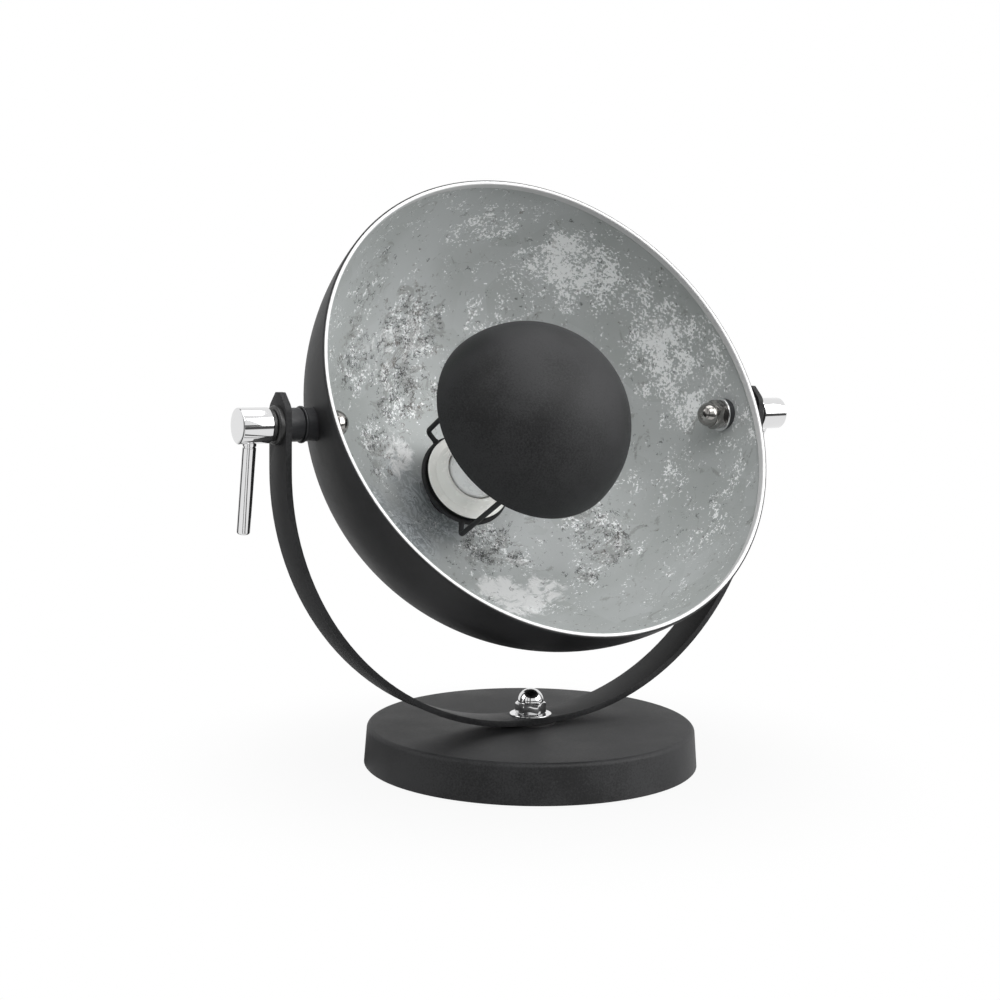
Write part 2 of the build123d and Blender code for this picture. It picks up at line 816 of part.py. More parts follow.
shell_back = holder_bore_floor + 0.1
shell_front = holder_mouth_floor - 1.0
thread_shell = dish_turning(
    [
        (shell_floor_radius, shell_back),
        (shell_radius, shell_back),
        (shell_radius, shell_front),
        (shell_bore_radius, shell_front),
        (shell_bore_radius, shell_back + shell_sheet),
        (shell_floor_radius, shell_back + shell_sheet),
    ]
)
thread_shell.part.label = "thread_shell"
export_step(thread_shell.part, "parts/thread_shell.step")

# Bent spring tongue that presses on the tip of the bulb.
with BuildPart() as centre_contact:
    with BuildSketch(dish_section):
        with BuildLine():
            Polyline(*tongue_path)
        trace(line_width=tongue_sheet)
    extrude(amount=tongue_width / 2, both=True)
centre_contact.part.label = "centre_contact"
export_step(centre_contact.part, "parts/centre_contact.step")

with BuildPart() as terminal_screws:
    with BuildSketch(dish_level(holder_tail_back)):
        with PolarLocations(terminal_circle, 2):
            Circle(terminal_head_radius)
    extrude(amount=-terminal_head_height)
    with BuildSketch(dish_level(holder_tail_back)):
        with PolarLocations(terminal_circle, 2):
            Circle(terminal_thread_radius)
    extrude(amount=terminal_screw_length)
terminal_screws.part.label = "terminal_screws"
export_step(terminal_screws.part, "parts/terminal_screws.step")

nipple = dish_turning(
    [
        (nipple_bore_radius, nipple_back),
        (nipple_radius, nipple_back),
        (nipple_radius, nipple_front),
        (nipple_bore_radius, nipple_front),
    ]
)
nipple.part.label = "nipple"
export_step(nipple.part, "parts/nipple.step")

# ---------------------------------------------------------------- bulb

bulb_contact = dish_turning(
    [
        (0, bulb_tip),
        (bulb_tip_radius - bulb_tip_chamfer, bulb_tip),
        (bulb_tip_radius, bulb_tip + bulb_tip_chamfer),
        (bulb_tip_radius, bulb_tip + bulb_tip_height),
        (0, bulb_tip + bulb_tip_height),
    ]
)
bulb_contact.part.label = "bulb_contact"
export_step(bulb_contact.part, "parts/bulb_contact.step")

bulb_shoulder = bulb_tip + bulb_shoulder_height
thread_root_radius = bulb_thread_radius - bulb_thread_rise
bulb_cap_inside = thread_root_radius - bulb_sheet
insulator_radius = bulb_tip_radius + 0.1
first_turn = bulb_tip + first_turn_height
with BuildPart() as bulb_cap:
    with BuildSketch(dish_section):
        with BuildLine():
            Polyline(
                (insulator_radius, bulb_tip + bulb_tip_chamfer),
                (bulb_shoulder_radius, bulb_shoulder),
                (thread_root_radius, bulb_shoulder + bulb_shoulder_rise),
                (thread_root_radius, bulb_skirt_top),
                (bulb_cap_inside, bulb_skirt_top),
                (bulb_cap_inside, bulb_shoulder + bulb_inside_rise),
                (bulb_shoulder_inner_radius, bulb_shoulder + bulb_sheet),
                (insulator_radius, bulb_tip + bulb_tip_height),
                close=True,
            )
        make_face()
        for turn in range(bulb_thread_turns):
            with Locations((bulb_thread_radius - thread_section, first_turn + turn * bulb_thread_pitch)):
                Circle(thread_section)
        with Locations((0, bulb_shoulder + bulb_inside_rise)):
            Rectangle(
                bulb_cap_inside,
                bulb_skirt_top - bulb_shoulder,
                align=(Align.MIN, Align.MIN),
                mode=Mode.SUBTRACT,
            )
    revolve(axis=dish_spin)
bulb_cap.part.label = "bulb_cap"
export_step(bulb_cap.part, "parts/bulb_cap.step")

spigot_radius = bulb_cap_inside - 0.05
bulb_neck = dish_turning(
    [
        (spigot_radius - spigot_wall, bulb_skirt_top - spigot_length),
        (spigot_radius, bulb_skirt_top - spigot_length),
        (spigot_radius, bulb_skirt_top),
        (neck_foot_radius, bulb_skirt_top),
        (neck_waist_radius, neck_waist),
        (neck_top_radius, globe_foot),
        (neck_top_radius - neck_wall, globe_foot),
        (neck_waist_radius - neck_wall, neck_waist),
        (spigot_radius - spigot_wall, bulb_skirt_top + neck_floor),
    ]
)
bulb_neck.part.label = "bulb_neck"
export_step(bulb_neck.part, "parts/bulb_neck.step")

with BuildPart() as bulb_globe:
    with BuildSketch(dish_section):
        with Locations((0, globe_station)):
            Circle(globe_radius)
            Circle(globe_radius - globe_wall, mode=Mode.SUBTRACT)
        with Locations((0, globe_foot)):
            Rectangle(
                globe_radius,
                3 * globe_radius,
                align=(Align.MIN, Align.MIN),
                mode=Mode.INTERSECT,
            )
    revolve(axis=dish_spin)
bulb_globe.part.label = "bulb_globe"
export_step(bulb_globe.part, "parts/bulb_globe.step")

# ---------------------------------------------------------------- back of the dish

earth_level = Plane(origin=rim_centre + dish_axis * earth_station, z_dir=-dish_section.z_dir)
with BuildPart() as rear_cover:
    with BuildSketch(dish_level(rear_cover_back)):
        Circle(rear_cover_radius)
    extrude(amount=rear_cover_depth)
    fillet(edges().sort_by(dish_spin)[0], rear_cover_edge_radius)
    offset(amount=-rear_cover_wall, openings=faces().sort_by(dish_spin)[-1])
    with Locations(rim_centre):
        Sphere(dish_radius, mode=Mode.SUBTRACT)
    with BuildSketch(dish_level(rear_cover_back)):
        Circle(nipple_radius + 2 * thread_allowance)
    extrude(amount=2 * rear_cover_wall, mode=Mode.SUBTRACT)
    with BuildSketch(earth_level):
        Circle(earth_thread_radius + thread_allowance)
    extrude(amount=rear_cover_radius + 1, mode=Mode.SUBTRACT)
rear_cover.part.label = "rear_cover"
export_step(rear_cover.part, "parts/rear_cover.step")

with BuildPart() as rear_lock_nut:
    with BuildSketch(dish_level(rear_cover_back + rear_cover_wall)):
        RegularPolygon(inlet_flats / 2, 6, major_radius=False)
        Circle(nipple_radius + thread_allowance, mode=Mode.SUBTRACT)
    extrude(amount=lock_nut_height)
rear_lock_nut.part.label = "rear_lock_nut"
export_step(rear_lock_nut.part, "parts/rear_lock_nut.step")

# Screwed inlet for the lead, with a hexagon against the cover and a rounded nose.
nipple_socket_depth = rear_cover_back - nipple_back + 0.1
with BuildPart() as lead_inlet:
    with BuildSketch(dish_level(rear_cover_back)):
        RegularPolygon(inlet_flats / 2, 6, major_radius=False)
    extrude(amount=-inlet_hex_height)
    with BuildSketch(dish_level(rear_cover_back - inlet_hex_height)):
        Circle(inlet_nose_radius)
    extrude(amount=inlet_end - rear_cover_back + inlet_hex_height)
    fillet(edges().sort_by(dish_spin)[0], inlet_nose_rounding)
    with BuildSketch(dish_level(rear_cover_back)):
        Circle(inlet_bore_radius)
    extrude(amount=inlet_end - rear_cover_back, mode=Mode.SUBTRACT)
    with BuildSketch(dish_level(rear_cover_back)):
        Circle(nipple_radius + thread_allowance)
    extrude(amount=-nipple_socket_depth, mode=Mode.SUBTRACT)
lead_inlet.part.label = "lead_inlet"
export_step(lead_inlet.part, "parts/lead_inlet.step")

# Earth screw through the wall of the cover, with its nut inside.
with BuildPart() as earth_screw:
    with BuildSketch(earth_level.offset(rear_cover_radius)):
        Circle(earth_head_radius)
    extrude(amount=earth_head_height)
    with BuildSketch(earth_level.offset(rear_cover_radius)):
        Circle(earth_thread_radius)
    extrude(amount=-earth_screw_length)
earth_screw.part.label = "earth_screw"
export_step(earth_screw.part, "parts/earth_screw.step")

cover_inside = rear_cover_radius - rear_cover_wall
with BuildPart() as earth_nut:
    with BuildSketch(earth_level.offset(cover_inside - earth_nut_gap)):
        RegularPolygon(earth_nut_flats / 2, 6, major_radius=False)
        Circle(earth_thread_radius + screw_slack, mode=Mode.SUBTRACT)
    extrude(amount=-earth_nut_height)
earth_nut.part.label = "earth_nut"
export_step(earth_nut.part, "parts/earth_nut.step")
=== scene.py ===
import json
import math

import bpy
from mathutils import Matrix, Vector


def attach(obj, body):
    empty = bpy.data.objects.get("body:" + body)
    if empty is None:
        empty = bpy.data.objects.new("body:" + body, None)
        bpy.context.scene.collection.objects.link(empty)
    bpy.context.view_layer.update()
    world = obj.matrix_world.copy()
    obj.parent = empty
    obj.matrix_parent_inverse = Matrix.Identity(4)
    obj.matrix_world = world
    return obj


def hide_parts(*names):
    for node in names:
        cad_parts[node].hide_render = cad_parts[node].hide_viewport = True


# A tabletop searchlight lamp, dressed over its fixed frame. Metres, +Z up, the dish opens to -Y.

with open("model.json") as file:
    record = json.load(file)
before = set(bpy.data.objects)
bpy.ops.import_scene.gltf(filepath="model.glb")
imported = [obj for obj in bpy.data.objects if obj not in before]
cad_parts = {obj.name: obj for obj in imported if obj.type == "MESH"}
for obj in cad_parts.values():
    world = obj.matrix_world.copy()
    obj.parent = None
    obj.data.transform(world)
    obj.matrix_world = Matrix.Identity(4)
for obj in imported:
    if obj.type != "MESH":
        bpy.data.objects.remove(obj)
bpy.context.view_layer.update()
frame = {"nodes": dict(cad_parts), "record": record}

# ------------------------------------------------------------------ sizes of the lamp, in millimetres
# A station is a distance along a turned piece's own axis: from the rim plane for what stands in
# the dish, and from the lamp's middle for what sits on a trunnion.

MM = 0.001
PIVOT = Vector((0, 0, 177.0)) * MM
DISH_TILT = math.radians(28.4)
RIM_AHEAD = 24.3 * MM
DISH_AXIS = Vector((0, -math.cos(DISH_TILT), math.sin(DISH_TILT)))
RIM_CENTRE = PIVOT + DISH_AXIS * RIM_AHEAD

BOLT_HOLE = 4.08

FOOT_RADIUS = 85.5
FOOT_TOP_RADIUS = 84.0
FOOT_HEIGHT = 20.5
FOOT_WALL = 1.2
FOOT_EDGE = 2.5
FOOT_LIP = 0.3
FOOT_TOP_RINGS = (60.0, 30.0)  # radii of two rings of points that keep the flat top's faces short
SKIRT_CLEARANCE = 0.6

YOKE_HALF_SPAN = 141.6
YOKE_INSIDE = 138.6
YOKE_TOP_FACE = 24.5
YOKE_EDGE = 0.45

DISH_RADIUS = 125.5
DISH_WALL = 1.2
LEAF_THICKNESS = 0.3
HEM_INNER_RADIUS = 123.3
HEM_HEIGHT = 3.5
HEM_ROUNDING = 0.6
HEM_CORNER = 0.4
DISH_OPENING = 12.2
LEAF_LIP = 124.7
LEAF_INNER_ROUNDING = 0.7
LEAF_LIP_ROUNDING = 0.3

CAP_EDGE_STATION = -28.0
CAP_EDGE_RADIUS = 53.5
CAP_HEIGHT = 48.5
CAP_WALL = 1.0
CAP_LIP_TURN = 0.9

WIRE_RADIUS = 1.4
LEG_RING_RADIUS = 25.0
LEG_RING_STATION = -102.5
LEG_ANGLES = (4.0, 118.5, 250.0)

CUP_RADIUS = 23.6
CUP_WALL = 0.7
CUP_FRONT = -98.9

WASHER = 1.2
WASHER_RADIUS = 10.8
SEAT_FACE = 119.3
INNER_WASHER_RADIUS = 9.3
NUT_FLATS = 13.8
NUT_HEX = 5.6
NUT_DOME = 6.6
NUT_HEIGHT = 12.6
PAN_NUT_TURN = math.radians(-32)

RIDGE_START = 129.1
RIDGE_END = 130.5
RIDGE_RADIUS = 8.8
SPACER_RADIUS = 8.0
# By side, -1 for the left and 1 for the right.
OUTER_WASHER = {-1: 2.8, 1: 0.6}
OUTER_WASHER_RADIUS = {-1: 9.3, 1: 8.3}
OUTER_WASHER_ROUNDING = {-1: 1.3, 1: 0.2}
CLAMP_BORE = 4.4
COLLAR_LENGTH = 2.0
COLLAR_RADIUS = 7.5
KNOB_RADIUS = 8.5
KNOB_LENGTH = 15.1
KNOB_BORE_DEPTH = 11.6
LEVER_ALONG_KNOB = 8.6
LEVER_RADIUS = 3.25
LEVER_ROOT = 5.5
LEVER_REACH = 52.0
LEVER_GROOVE = 0.35
LEVER_END = 1.1
LEVER_TURNS = {-1: math.radians(10), 1: math.radians(33)}  # by side, away from straight down

SIDES = {-1: "left", 1: "right"}
SMOOTH_ANGLE = math.radians(32)


# ------------------------------------------------------------------ modelling helpers


def deselect():
    """Lets go of every object."""
    bpy.ops.object.select_all(action="DESELECT")


def named(name):
    """Names the piece that was just added."""
    piece = bpy.context.object
    piece.name = name
    piece.data.name = name
    return piece


def pick(piece):
    """Makes one piece the only one that operators act on."""
    deselect()
    piece.select_set(True)
    bpy.context.view_layer.objects.active = piece


def settle(piece, angle=SMOOTH_ANGLE):
    """Applies the place of a piece and shades it smooth up to an angle."""
    pick(piece)
    bpy.ops.object.transform_apply(location=True, rotation=True, scale=True)
    bpy.ops.object.shade_smooth_by_angle(angle=angle)
    return piece


def apply_all(piece):
    """Applies a piece's modifiers in their order."""
    pick(piece)
    for modifier in list(piece.modifiers):
        bpy.ops.object.modifier_apply(modifier=modifier.name)


def axis_matrix(origin, axis, across):
    """A frame at origin with +Z along axis and +X along across."""
    z = axis.normalized()
    x = (across - z * across.dot(z)).normalized()
    y = z.cross(x)
    turn = Matrix((x, y, z)).transposed().to_4x4()
    return Matrix.Translation(origin) @ turn


def dish_matrix():
    """Frame on the dish axis at the rim plane, +Z out of the mouth."""
    return axis_matrix(RIM_CENTRE, DISH_AXIS, Vector((1, 0, 0)))


def trunnion_matrix(side):
    """Frame on a trunnion, +Z outwards, so a station is a distance from the lamp's middle."""
    return axis_matrix(PIVOT, Vector((side, 0, 0)), Vector((0, 1, 0)))


def arc(centre, radius, start, end, count=5):
    """Points of an arc in the (radius, station) plane, angles in degrees."""
    points = []
    for step in range(count + 1):
        angle = math.radians(start + (end - start) * step / count)
        points.append(
            (centre[0] + radius * math.cos(angle), centre[1] + radius * math.sin(angle))
        )
    return points


def turned(name, outline, place, steps=96, closed=True):
    """Spins an outline of (radius, station) points in millimetres round the local Z axis."""
    deselect()
    bpy.ops.mesh.primitive_plane_add(size=MM)
    piece = named(name)
    bpy.ops.object.mode_set(mode="EDIT")
    bpy.ops.mesh.select_all(action="SELECT")
    bpy.ops.mesh.merge(type="CENTER")
    spots = [Vector((r, 0, s)) * MM for r, s in outline]
    bpy.ops.transform.translate(value=spots[0])
    last = spots[0]
    for spot in spots[1:] + (spots[:1] if closed else []):
        bpy.ops.mesh.extrude_region_move(TRANSFORM_OT_translate={"value": spot - last})
        last = spot
    bpy.ops.mesh.select_all(action="SELECT")
    bpy.ops.mesh.remove_doubles(threshold=1e-6)
    bpy.ops.mesh.spin(
        steps=steps, angle=2 * math.pi, center=(0, 0, 0), axis=(0, 0, 1), use_normal_flip=False
    )
    bpy.ops.mesh.select_all(action="SELECT")
    bpy.ops.mesh.remove_doubles(threshold=1e-6)
    bpy.ops.mesh.normals_make_consistent(inside=False)
    bpy.ops.object.mode_set(mode="OBJECT")
    piece.matrix_world = place
    return settle(piece)


# ------------------------------------------------------------------ shader nodes


def node(tree, kind, **settings):
    """Adds a shader node and sets its properties."""
    made = tree.nodes.new(kind)
    for key, value in settings.items():
        setattr(made, key, value)
    return made


def feed(tree, socket, value):
    """Links a socket to another node's output, or sets it to a constant."""
    if isinstance(value, bpy.types.NodeSocket):
        tree.links.new(value, socket)
    else:
        socket.default_value = value


def noise(tree, vector, scale, detail=2.0, roughness=0.5, distortion=0.0):
    made = node(tree, "ShaderNodeTexNoise")
    made.inputs["Scale"].default_value = scale
    made.inputs["Detail"].default_value = detail
    made.inputs["Roughness"].default_value = roughness
    made.inputs["Distortion"].default_value = distortion
    tree.links.new(vector, made.inputs["Vector"])
    return made.outputs["Fac"]


def remap(tree, value, low, high, to_low=0.0, to_high=1.0, smooth=True):
    """Turns one range of a value into another, with eased or straight ends."""
    made = node(tree, "ShaderNodeMapRange")
    made.interpolation_type = "SMOOTHSTEP" if smooth else "LINEAR"
    made.inputs["From Min"].default_value = low
    made.inputs["From Max"].default_value = high
    made.inputs["To Min"].default_value = to_low
    made.inputs["To Max"].default_value = to_high
    tree.links.new(value, made.inputs["Value"])
    return made.outputs["Result"]


def math_node(tree, operation, first, second=0.0):
    made = node(tree, "ShaderNodeMath", operation=operation)
    feed(tree, made.inputs[0], first)
    feed(tree, made.inputs[1], second)
    return made.outputs[0]


def add_share(tree, base, extra, share):
    """Adds a share of one value to another."""
    return math_node(tree, "ADD", base, math_node(tree, "MULTIPLY", extra, share))


def mix_colour(tree, factor, first, second):
    made = node(tree, "ShaderNodeMix", data_type="RGBA")
    feed(tree, made.inputs["Factor"], factor)
    ends = [socket for socket in made.inputs if socket.type == "RGBA"]
    feed(tree, ends[0], first)
    feed(tree, ends[1], second)
    return [socket for socket in made.outputs if socket.type == "RGBA"][0]


def bump(tree, height, shader, strength, distance):
    made = node(tree, "ShaderNodeBump")
    made.inputs["Strength"].default_value = strength
    made.inputs["Distance"].default_value = distance
    tree.links.new(height, made.inputs["Height"])
    tree.links.new(made.outputs["Normal"], shader.inputs["Normal"])


def grey(level, tint=(1.0, 1.0, 1.0)):
    return (level * tint[0], level * tint[1], level * tint[2], 1.0)


def material(name):
    """A new material, its node tree, its shader and the place on the piece."""
    made = bpy.data.materials.new(name)
    made.use_nodes = True
    tree = made.node_tree
    shader = tree.nodes["Principled BSDF"]
    place = node(tree, "ShaderNodeTexCoord").outputs["Object"]
    return made, tree, shader, place


# ------------------------------------------------------------------ finishes


def grain_group():
    """Fine powder grain: a height for bump, and a mask of lighter and darker grains."""
    tree = bpy.data.node_groups.new("powder_grain", "ShaderNodeTree")
    tree.interface.new_socket("Vector", in_out="INPUT", socket_type="NodeSocketVector")
    tree.interface.new_socket("Height", in_out="OUTPUT", socket_type="NodeSocketFloat")
    tree.interface.new_socket("Mask", in_out="OUTPUT", socket_type="NodeSocketFloat")
    vector = node(tree, "NodeGroupInput").outputs["Vector"]
    grown = node(tree, "NodeGroupOutput")
    coarse = noise(tree, vector, 1100.0, 3.0, 0.6)
    fine = noise(tree, vector, 3200.0, 2.0, 0.5)
    blotch = noise(tree, vector, 26.0, 3.0, 0.55)
    tree.links.new(add_share(tree, fine, coarse, 0.7), grown.inputs["Height"])
    tree.links.new(add_share(tree, blotch, coarse, 0.75), grown.inputs["Mask"])
    return tree


def powder_coat(name, dark, light):
    """Matt powder coating with a fine grain."""
    made, tree, shader, place = material(name)
    grain = node(tree, "ShaderNodeGroup")
    grain.node_tree = grain_group()
    tree.links.new(place, grain.inputs["Vector"])
    shade = remap(tree, grain.outputs["Mask"], 0.65, 1.05)
    tree.links.new(mix_colour(tree, shade, dark, light), shader.inputs["Base Color"])
    rough = remap(tree, grain.outputs["Mask"], 0.6, 1.1, 0.44, 0.58)
    tree.links.new(rough, shader.inputs["Roughness"])
    shader.inputs["Specular IOR Level"].default_value = 0.17
    bump(tree, grain.outputs["Height"], shader, 0.45, 0.00012)
    return made


def leaf_ground(tree, place):
    """Satin grey, a little different from sheet to sheet."""
    wide = noise(tree, place, 14.0, 3.0, 0.55, 0.4)
    sheets = node(tree, "ShaderNodeTexVoronoi", distance="CHEBYCHEV")
    sheets.inputs["Scale"].default_value = 26.0
    tree.links.new(place, sheets.inputs["Vector"])
    split = node(tree, "ShaderNodeSeparateColor")
    tree.links.new(sheets.outputs["Color"], split.inputs["Color"])
    tone = remap(tree, add_share(tree, wide, split.outputs[0], 0.18), 0.40, 0.78)
    return mix_colour(tree, tone, grey(0.46, (0.955, 1.0, 0.985)), grey(0.55, (0.965, 1.0, 1.0)))


def leaf_marble(tree, place):
    """Swirls of darker and lighter leaf."""
    swirl = noise(tree, place, 60.0, 4.0, 0.6, 2.2)
    wave = math_node(tree, "SINE", math_node(tree, "MULTIPLY", swirl, 42.0))
    tone = remap(tree, wave, -0.6, 0.9)
    return mix_colour(tree, tone, grey(0.36, (0.93, 1.0, 1.07)), grey(0.66, (0.95, 1.0, 1.04)))


def leaf_glinting_flakes(tree, place, grit, torn_and_glinting, cracked_and_shaded):
    """1 on the bright flakes, torn leaf painted near-white as painted glints, thickest where the leaf is
    torn.
    """
    lobes = noise(tree, place, 85.0, 4.0, 0.62, 0.6)
    field = add_share(tree, grit, lobes, 0.7)
    field = add_share(tree, field, torn_and_glinting, 0.175)
    field = add_share(tree, field, cracked_and_shaded, 0.10)
    return remap(tree, field, 1.005, 1.018)


def leaf_cracks_and_dark_glints(tree, place, cracked_and_shaded):
    """1 in the thin broken veins, and in the dark specks between them, which are painted shade."""
    vein = noise(tree, place, 150.0, 6.0, 0.68, 0.9)
    distance = math_node(tree, "ABSOLUTE", math_node(tree, "SUBTRACT", vein, 0.5))
    thin = remap(tree, distance, 0.010, 0.024, 1.0, 0.0)
    broken = noise(tree, place, 210.0, 4.0, 0.6, 0.2)
    gate = remap(tree, add_share(tree, broken, cracked_and_shaded, 0.16), 0.60, 0.66)
    grain = noise(tree, place, 640.0, 7.0, 0.74, 0.6)
    field = add_share(tree, add_share(tree, grain, broken, 0.35), cracked_and_shaded, 0.095)
    dark_glint_specks = remap(tree, field, 0.835, 0.852)
    return math_node(tree, "MAXIMUM", math_node(tree, "MULTIPLY", thin, gate), dark_glint_specks)


def leaf_foil(name):
    """Silver leaf: a satin grey ground, torn flakes painted near-white as painted glints, dark cracks
    with dark specks and patches of painted shade, pale clouds, marbling.

    The attribute "drifts" says how much of each there is: glinting flakes, cracks with painted shade,
    clouds and marbling.
    """
    made, tree, shader, place = material(name)
    drifts = node(tree, "ShaderNodeAttribute", attribute_name="drifts")
    split = node(tree, "ShaderNodeSeparateColor")
    tree.links.new(drifts.outputs["Color"], split.inputs["Color"])
    torn_and_glinting, cracked_and_shaded, clouded = split.outputs[0], split.outputs[1], split.outputs[2]
    marbled = drifts.outputs["Alpha"]

    laid = mix_colour(tree, marbled, leaf_ground(tree, place), leaf_marble(tree, place))

    mist = noise(tree, place, 120.0, 9.0, 0.74, 0.8)
    cloud = remap(tree, add_share(tree, mist, clouded, 0.29), 0.62, 0.80)
    misty = mix_colour(tree, cloud, laid, grey(0.86))

    grit = noise(tree, place, 620.0, 5.0, 0.72, 0.3)
    # The flakes are painted glints: torn leaf coloured near-white and kept little metallic, so it is as
    # bright as a glint under any light.
    glinting_flakes = leaf_glinting_flakes(tree, place, grit, torn_and_glinting, cracked_and_shaded)
    with_glints = mix_colour(tree, glinting_flakes, misty, grey(0.96, (0.99, 1.0, 1.0)))

    # Dark brownish patches where the leaf is cracked are painted shade.
    shade_patch_noise = noise(tree, place, 75.0, 9.0, 0.72, 1.2)
    shade_patches = remap(tree, add_share(tree, shade_patch_noise, cracked_and_shaded, 0.12), 0.61, 0.635)
    shade_patches = math_node(tree, "MULTIPLY", shade_patches, 0.38)
    with_shade_patches = mix_colour(tree, shade_patches, with_glints, grey(0.17, (1.06, 1.0, 0.95)))

    # The veins are cracks in the leaf; the near-black and brownish specks with them are painted shade, as
    # dark glints of crinkled leaf.
    cracks_and_dark_glints = leaf_cracks_and_dark_glints(tree, place, cracked_and_shaded)
    dark_tone = remap(tree, noise(tree, place, 34.0, 3.0, 0.6, 0.5), 0.5, 0.64)
    crack_and_shade_colour = mix_colour(tree, dark_tone, grey(0.045), grey(0.16, (1.15, 1.0, 0.88)))
    marked = mix_colour(tree, math_node(tree, "MULTIPLY", cracks_and_dark_glints, 0.9), with_shade_patches, crack_and_shade_colour)

    metal = remap(tree, glinting_flakes, 0.0, 1.0, 0.3, 0.2, smooth=False)
    rough = remap(tree, glinting_flakes, 0.0, 1.0, 0.46, 0.34, smooth=False)
    tree.links.new(marked, shader.inputs["Base Color"])
    tree.links.new(metal, shader.inputs["Metallic"])
    tree.links.new(rough, shader.inputs["Roughness"])
    raised = add_share(tree, grit, glinting_flakes, 0.5)
    bump(tree, add_share(tree, raised, cracks_and_dark_glints, -0.4), shader, 0.22, 0.0003)
    return made


def chrome(name):
    """Polished plating with a trace of haze and waviness."""
    made, tree, shader, place = material(name)
    haze = noise(tree, place, 60.0, 3.0, 0.6)
    tree.links.new(remap(tree, haze, 0.3, 0.7, 0.04, 0.10), shader.inputs["Roughness"])
    colour = mix_colour(tree, haze, grey(0.71, (1.0, 1.0, 1.01)), grey(0.76))
    tree.links.new(colour, shader.inputs["Base Color"])
    shader.inputs["Metallic"].default_value = 1.0
    bump(tree, noise(tree, place, 900.0, 2.0), shader, 0.008, 0.00005)
    return made


def shaded_chrome(name):
    """The chrome darkened with painted shade, for the domed nuts inside the bowl, and a little cloudier."""
    made, tree, shader, place = material(name)
    haze = noise(tree, place, 240.0, 4.0, 0.6)
    colour = mix_colour(tree, haze, grey(0.20, (1.04, 1.0, 0.95)), grey(0.42, (1.03, 1.0, 0.96)))
    tree.links.new(colour, shader.inputs["Base Color"])
    tree.links.new(remap(tree, haze, 0.3, 0.7, 0.08, 0.18), shader.inputs["Roughness"])
    shader.inputs["Metallic"].default_value = 1.0
    return made


def plain_metal(name, low, high, roughness, scale=300.0, metallic=1.0, strength=0.15):
    """Metal with a fine mottle."""
    made, tree, shader, place = material(name)
    mask = noise(tree, place, scale, 4.0, 0.6)
    rough = remap(tree, mask, 0.3, 0.7, roughness - 0.06, roughness + 0.08)
    tree.links.new(mix_colour(tree, mask, low, high), shader.inputs["Base Color"])
    tree.links.new(rough, shader.inputs["Roughness"])
    shader.inputs["Metallic"].default_value = metallic
    bump(tree, mask, shader, strength, 0.0002)
    return made


def moulded(name, low, high, roughness, strength=0.1, scale=700.0):
    """Rubber, plastic and glaze: a faint mottle and a soft skin."""
    return plain_metal(name, low, high, roughness, scale, 0.0, strength)


COOL_BLACK = (0.98, 0.99, 1.03)
BLUE_BLACK = (0.95, 0.98, 1.1)
WARM_WHITE = (1.0, 0.99, 0.95)

# A copy of the chrome darkened with painted shade, for the nuts that sit inside the bowl.
SHADED_CHROME = shaded_chrome("shaded_chrome")
RIM_LEAF = plain_metal("rim_leaf", grey(0.58), grey(0.66), 0.42, 260.0, 0.1, 0.3)
MATERIALS = {
    "black_powder_coat": powder_coat("powder_coat", grey(0.014, COOL_BLACK), grey(0.030, COOL_BLACK)),
    "silver_leaf": leaf_foil("silver_leaf"),
    "polished_chrome": chrome("polished_chrome"),
    "black_rubber": moulded("black_rubber", grey(0.012, BLUE_BLACK), grey(0.022, BLUE_BLACK), 0.48),
    "black_plastic": moulded("black_plastic", grey(0.012), grey(0.02), 0.4),
    "cast_weight": plain_metal("cast_iron", grey(0.06), grey(0.12), 0.62, 250.0, 0.7, 0.6),
    "zinc_plated_steel": plain_metal("zinc_plate", grey(0.50), grey(0.62), 0.3, 120.0),
    "white_holder": moulded(
        "glazed_white", grey(0.91, WARM_WHITE), grey(0.94, WARM_WHITE), 0.22, 0.03, 160.0
    ),
    "brass_contacts": plain_metal("brass", (0.60, 0.43, 0.17, 1), (0.72, 0.54, 0.24, 1), 0.28, 150.0),
    "opal_glass": moulded("opal_glass", grey(0.90), grey(0.93), 0.18, 0.02, 90.0),
    "white_bulb_neck": moulded("white_neck", grey(0.91), grey(0.94), 0.3, 0.03, 150.0),
    "bulb_cap_metal": plain_metal("bulb_cap_metal", grey(0.66), grey(0.76), 0.24, 140.0),
}


def dress_frame():
    """Gives each node of the frame the material of its slot."""
    for part in frame["record"]["subparts"]:
        piece = frame["nodes"][part["node"]]
        piece.data.materials.clear()
        piece.data.materials.append(MATERIALS[part["material_slot"]])


def finish_piece(piece, slot, body, *nodes, finish=None):
    """Gives a piece its slot's finish or its own, hangs it on its body and hides the nodes it stands for.
    """
    piece.data.materials.clear()
    piece.data.materials.append(finish or MATERIALS[slot])
    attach(piece, body)
    if nodes:
        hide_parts(*nodes)


# ------------------------------------------------------------------ pieces


def reshaped(node_name, name, edge=0.0, segments=3):
    """A copy of a frame node, merged and with its sharp edges broken."""
    deselect()
    source = frame["nodes"][node_name]
    piece = source.copy()
    piece.data = source.data.copy()
    piece.name = name
    piece.data.name = name
    bpy.context.scene.collection.objects.link(piece)
    pick(piece)
    bpy.ops.object.mode_set(mode="EDIT")
    bpy.ops.mesh.select_all(action="SELECT")
    bpy.ops.mesh.remove_doubles(threshold=2e-6)
    bpy.ops.mesh.dissolve_limited(angle_limit=math.radians(0.4))
    bpy.ops.object.mode_set(mode="OBJECT")
    if edge:
        breaker = piece.modifiers.new("broken_edges", "BEVEL")
        breaker.width = edge * MM
        breaker.segments = segments
        breaker.limit_method = "ANGLE"
        breaker.angle_limit = math.radians(35)
        apply_all(piece)
    bpy.ops.object.shade_smooth_by_angle(angle=SMOOTH_ANGLE)
    return piece


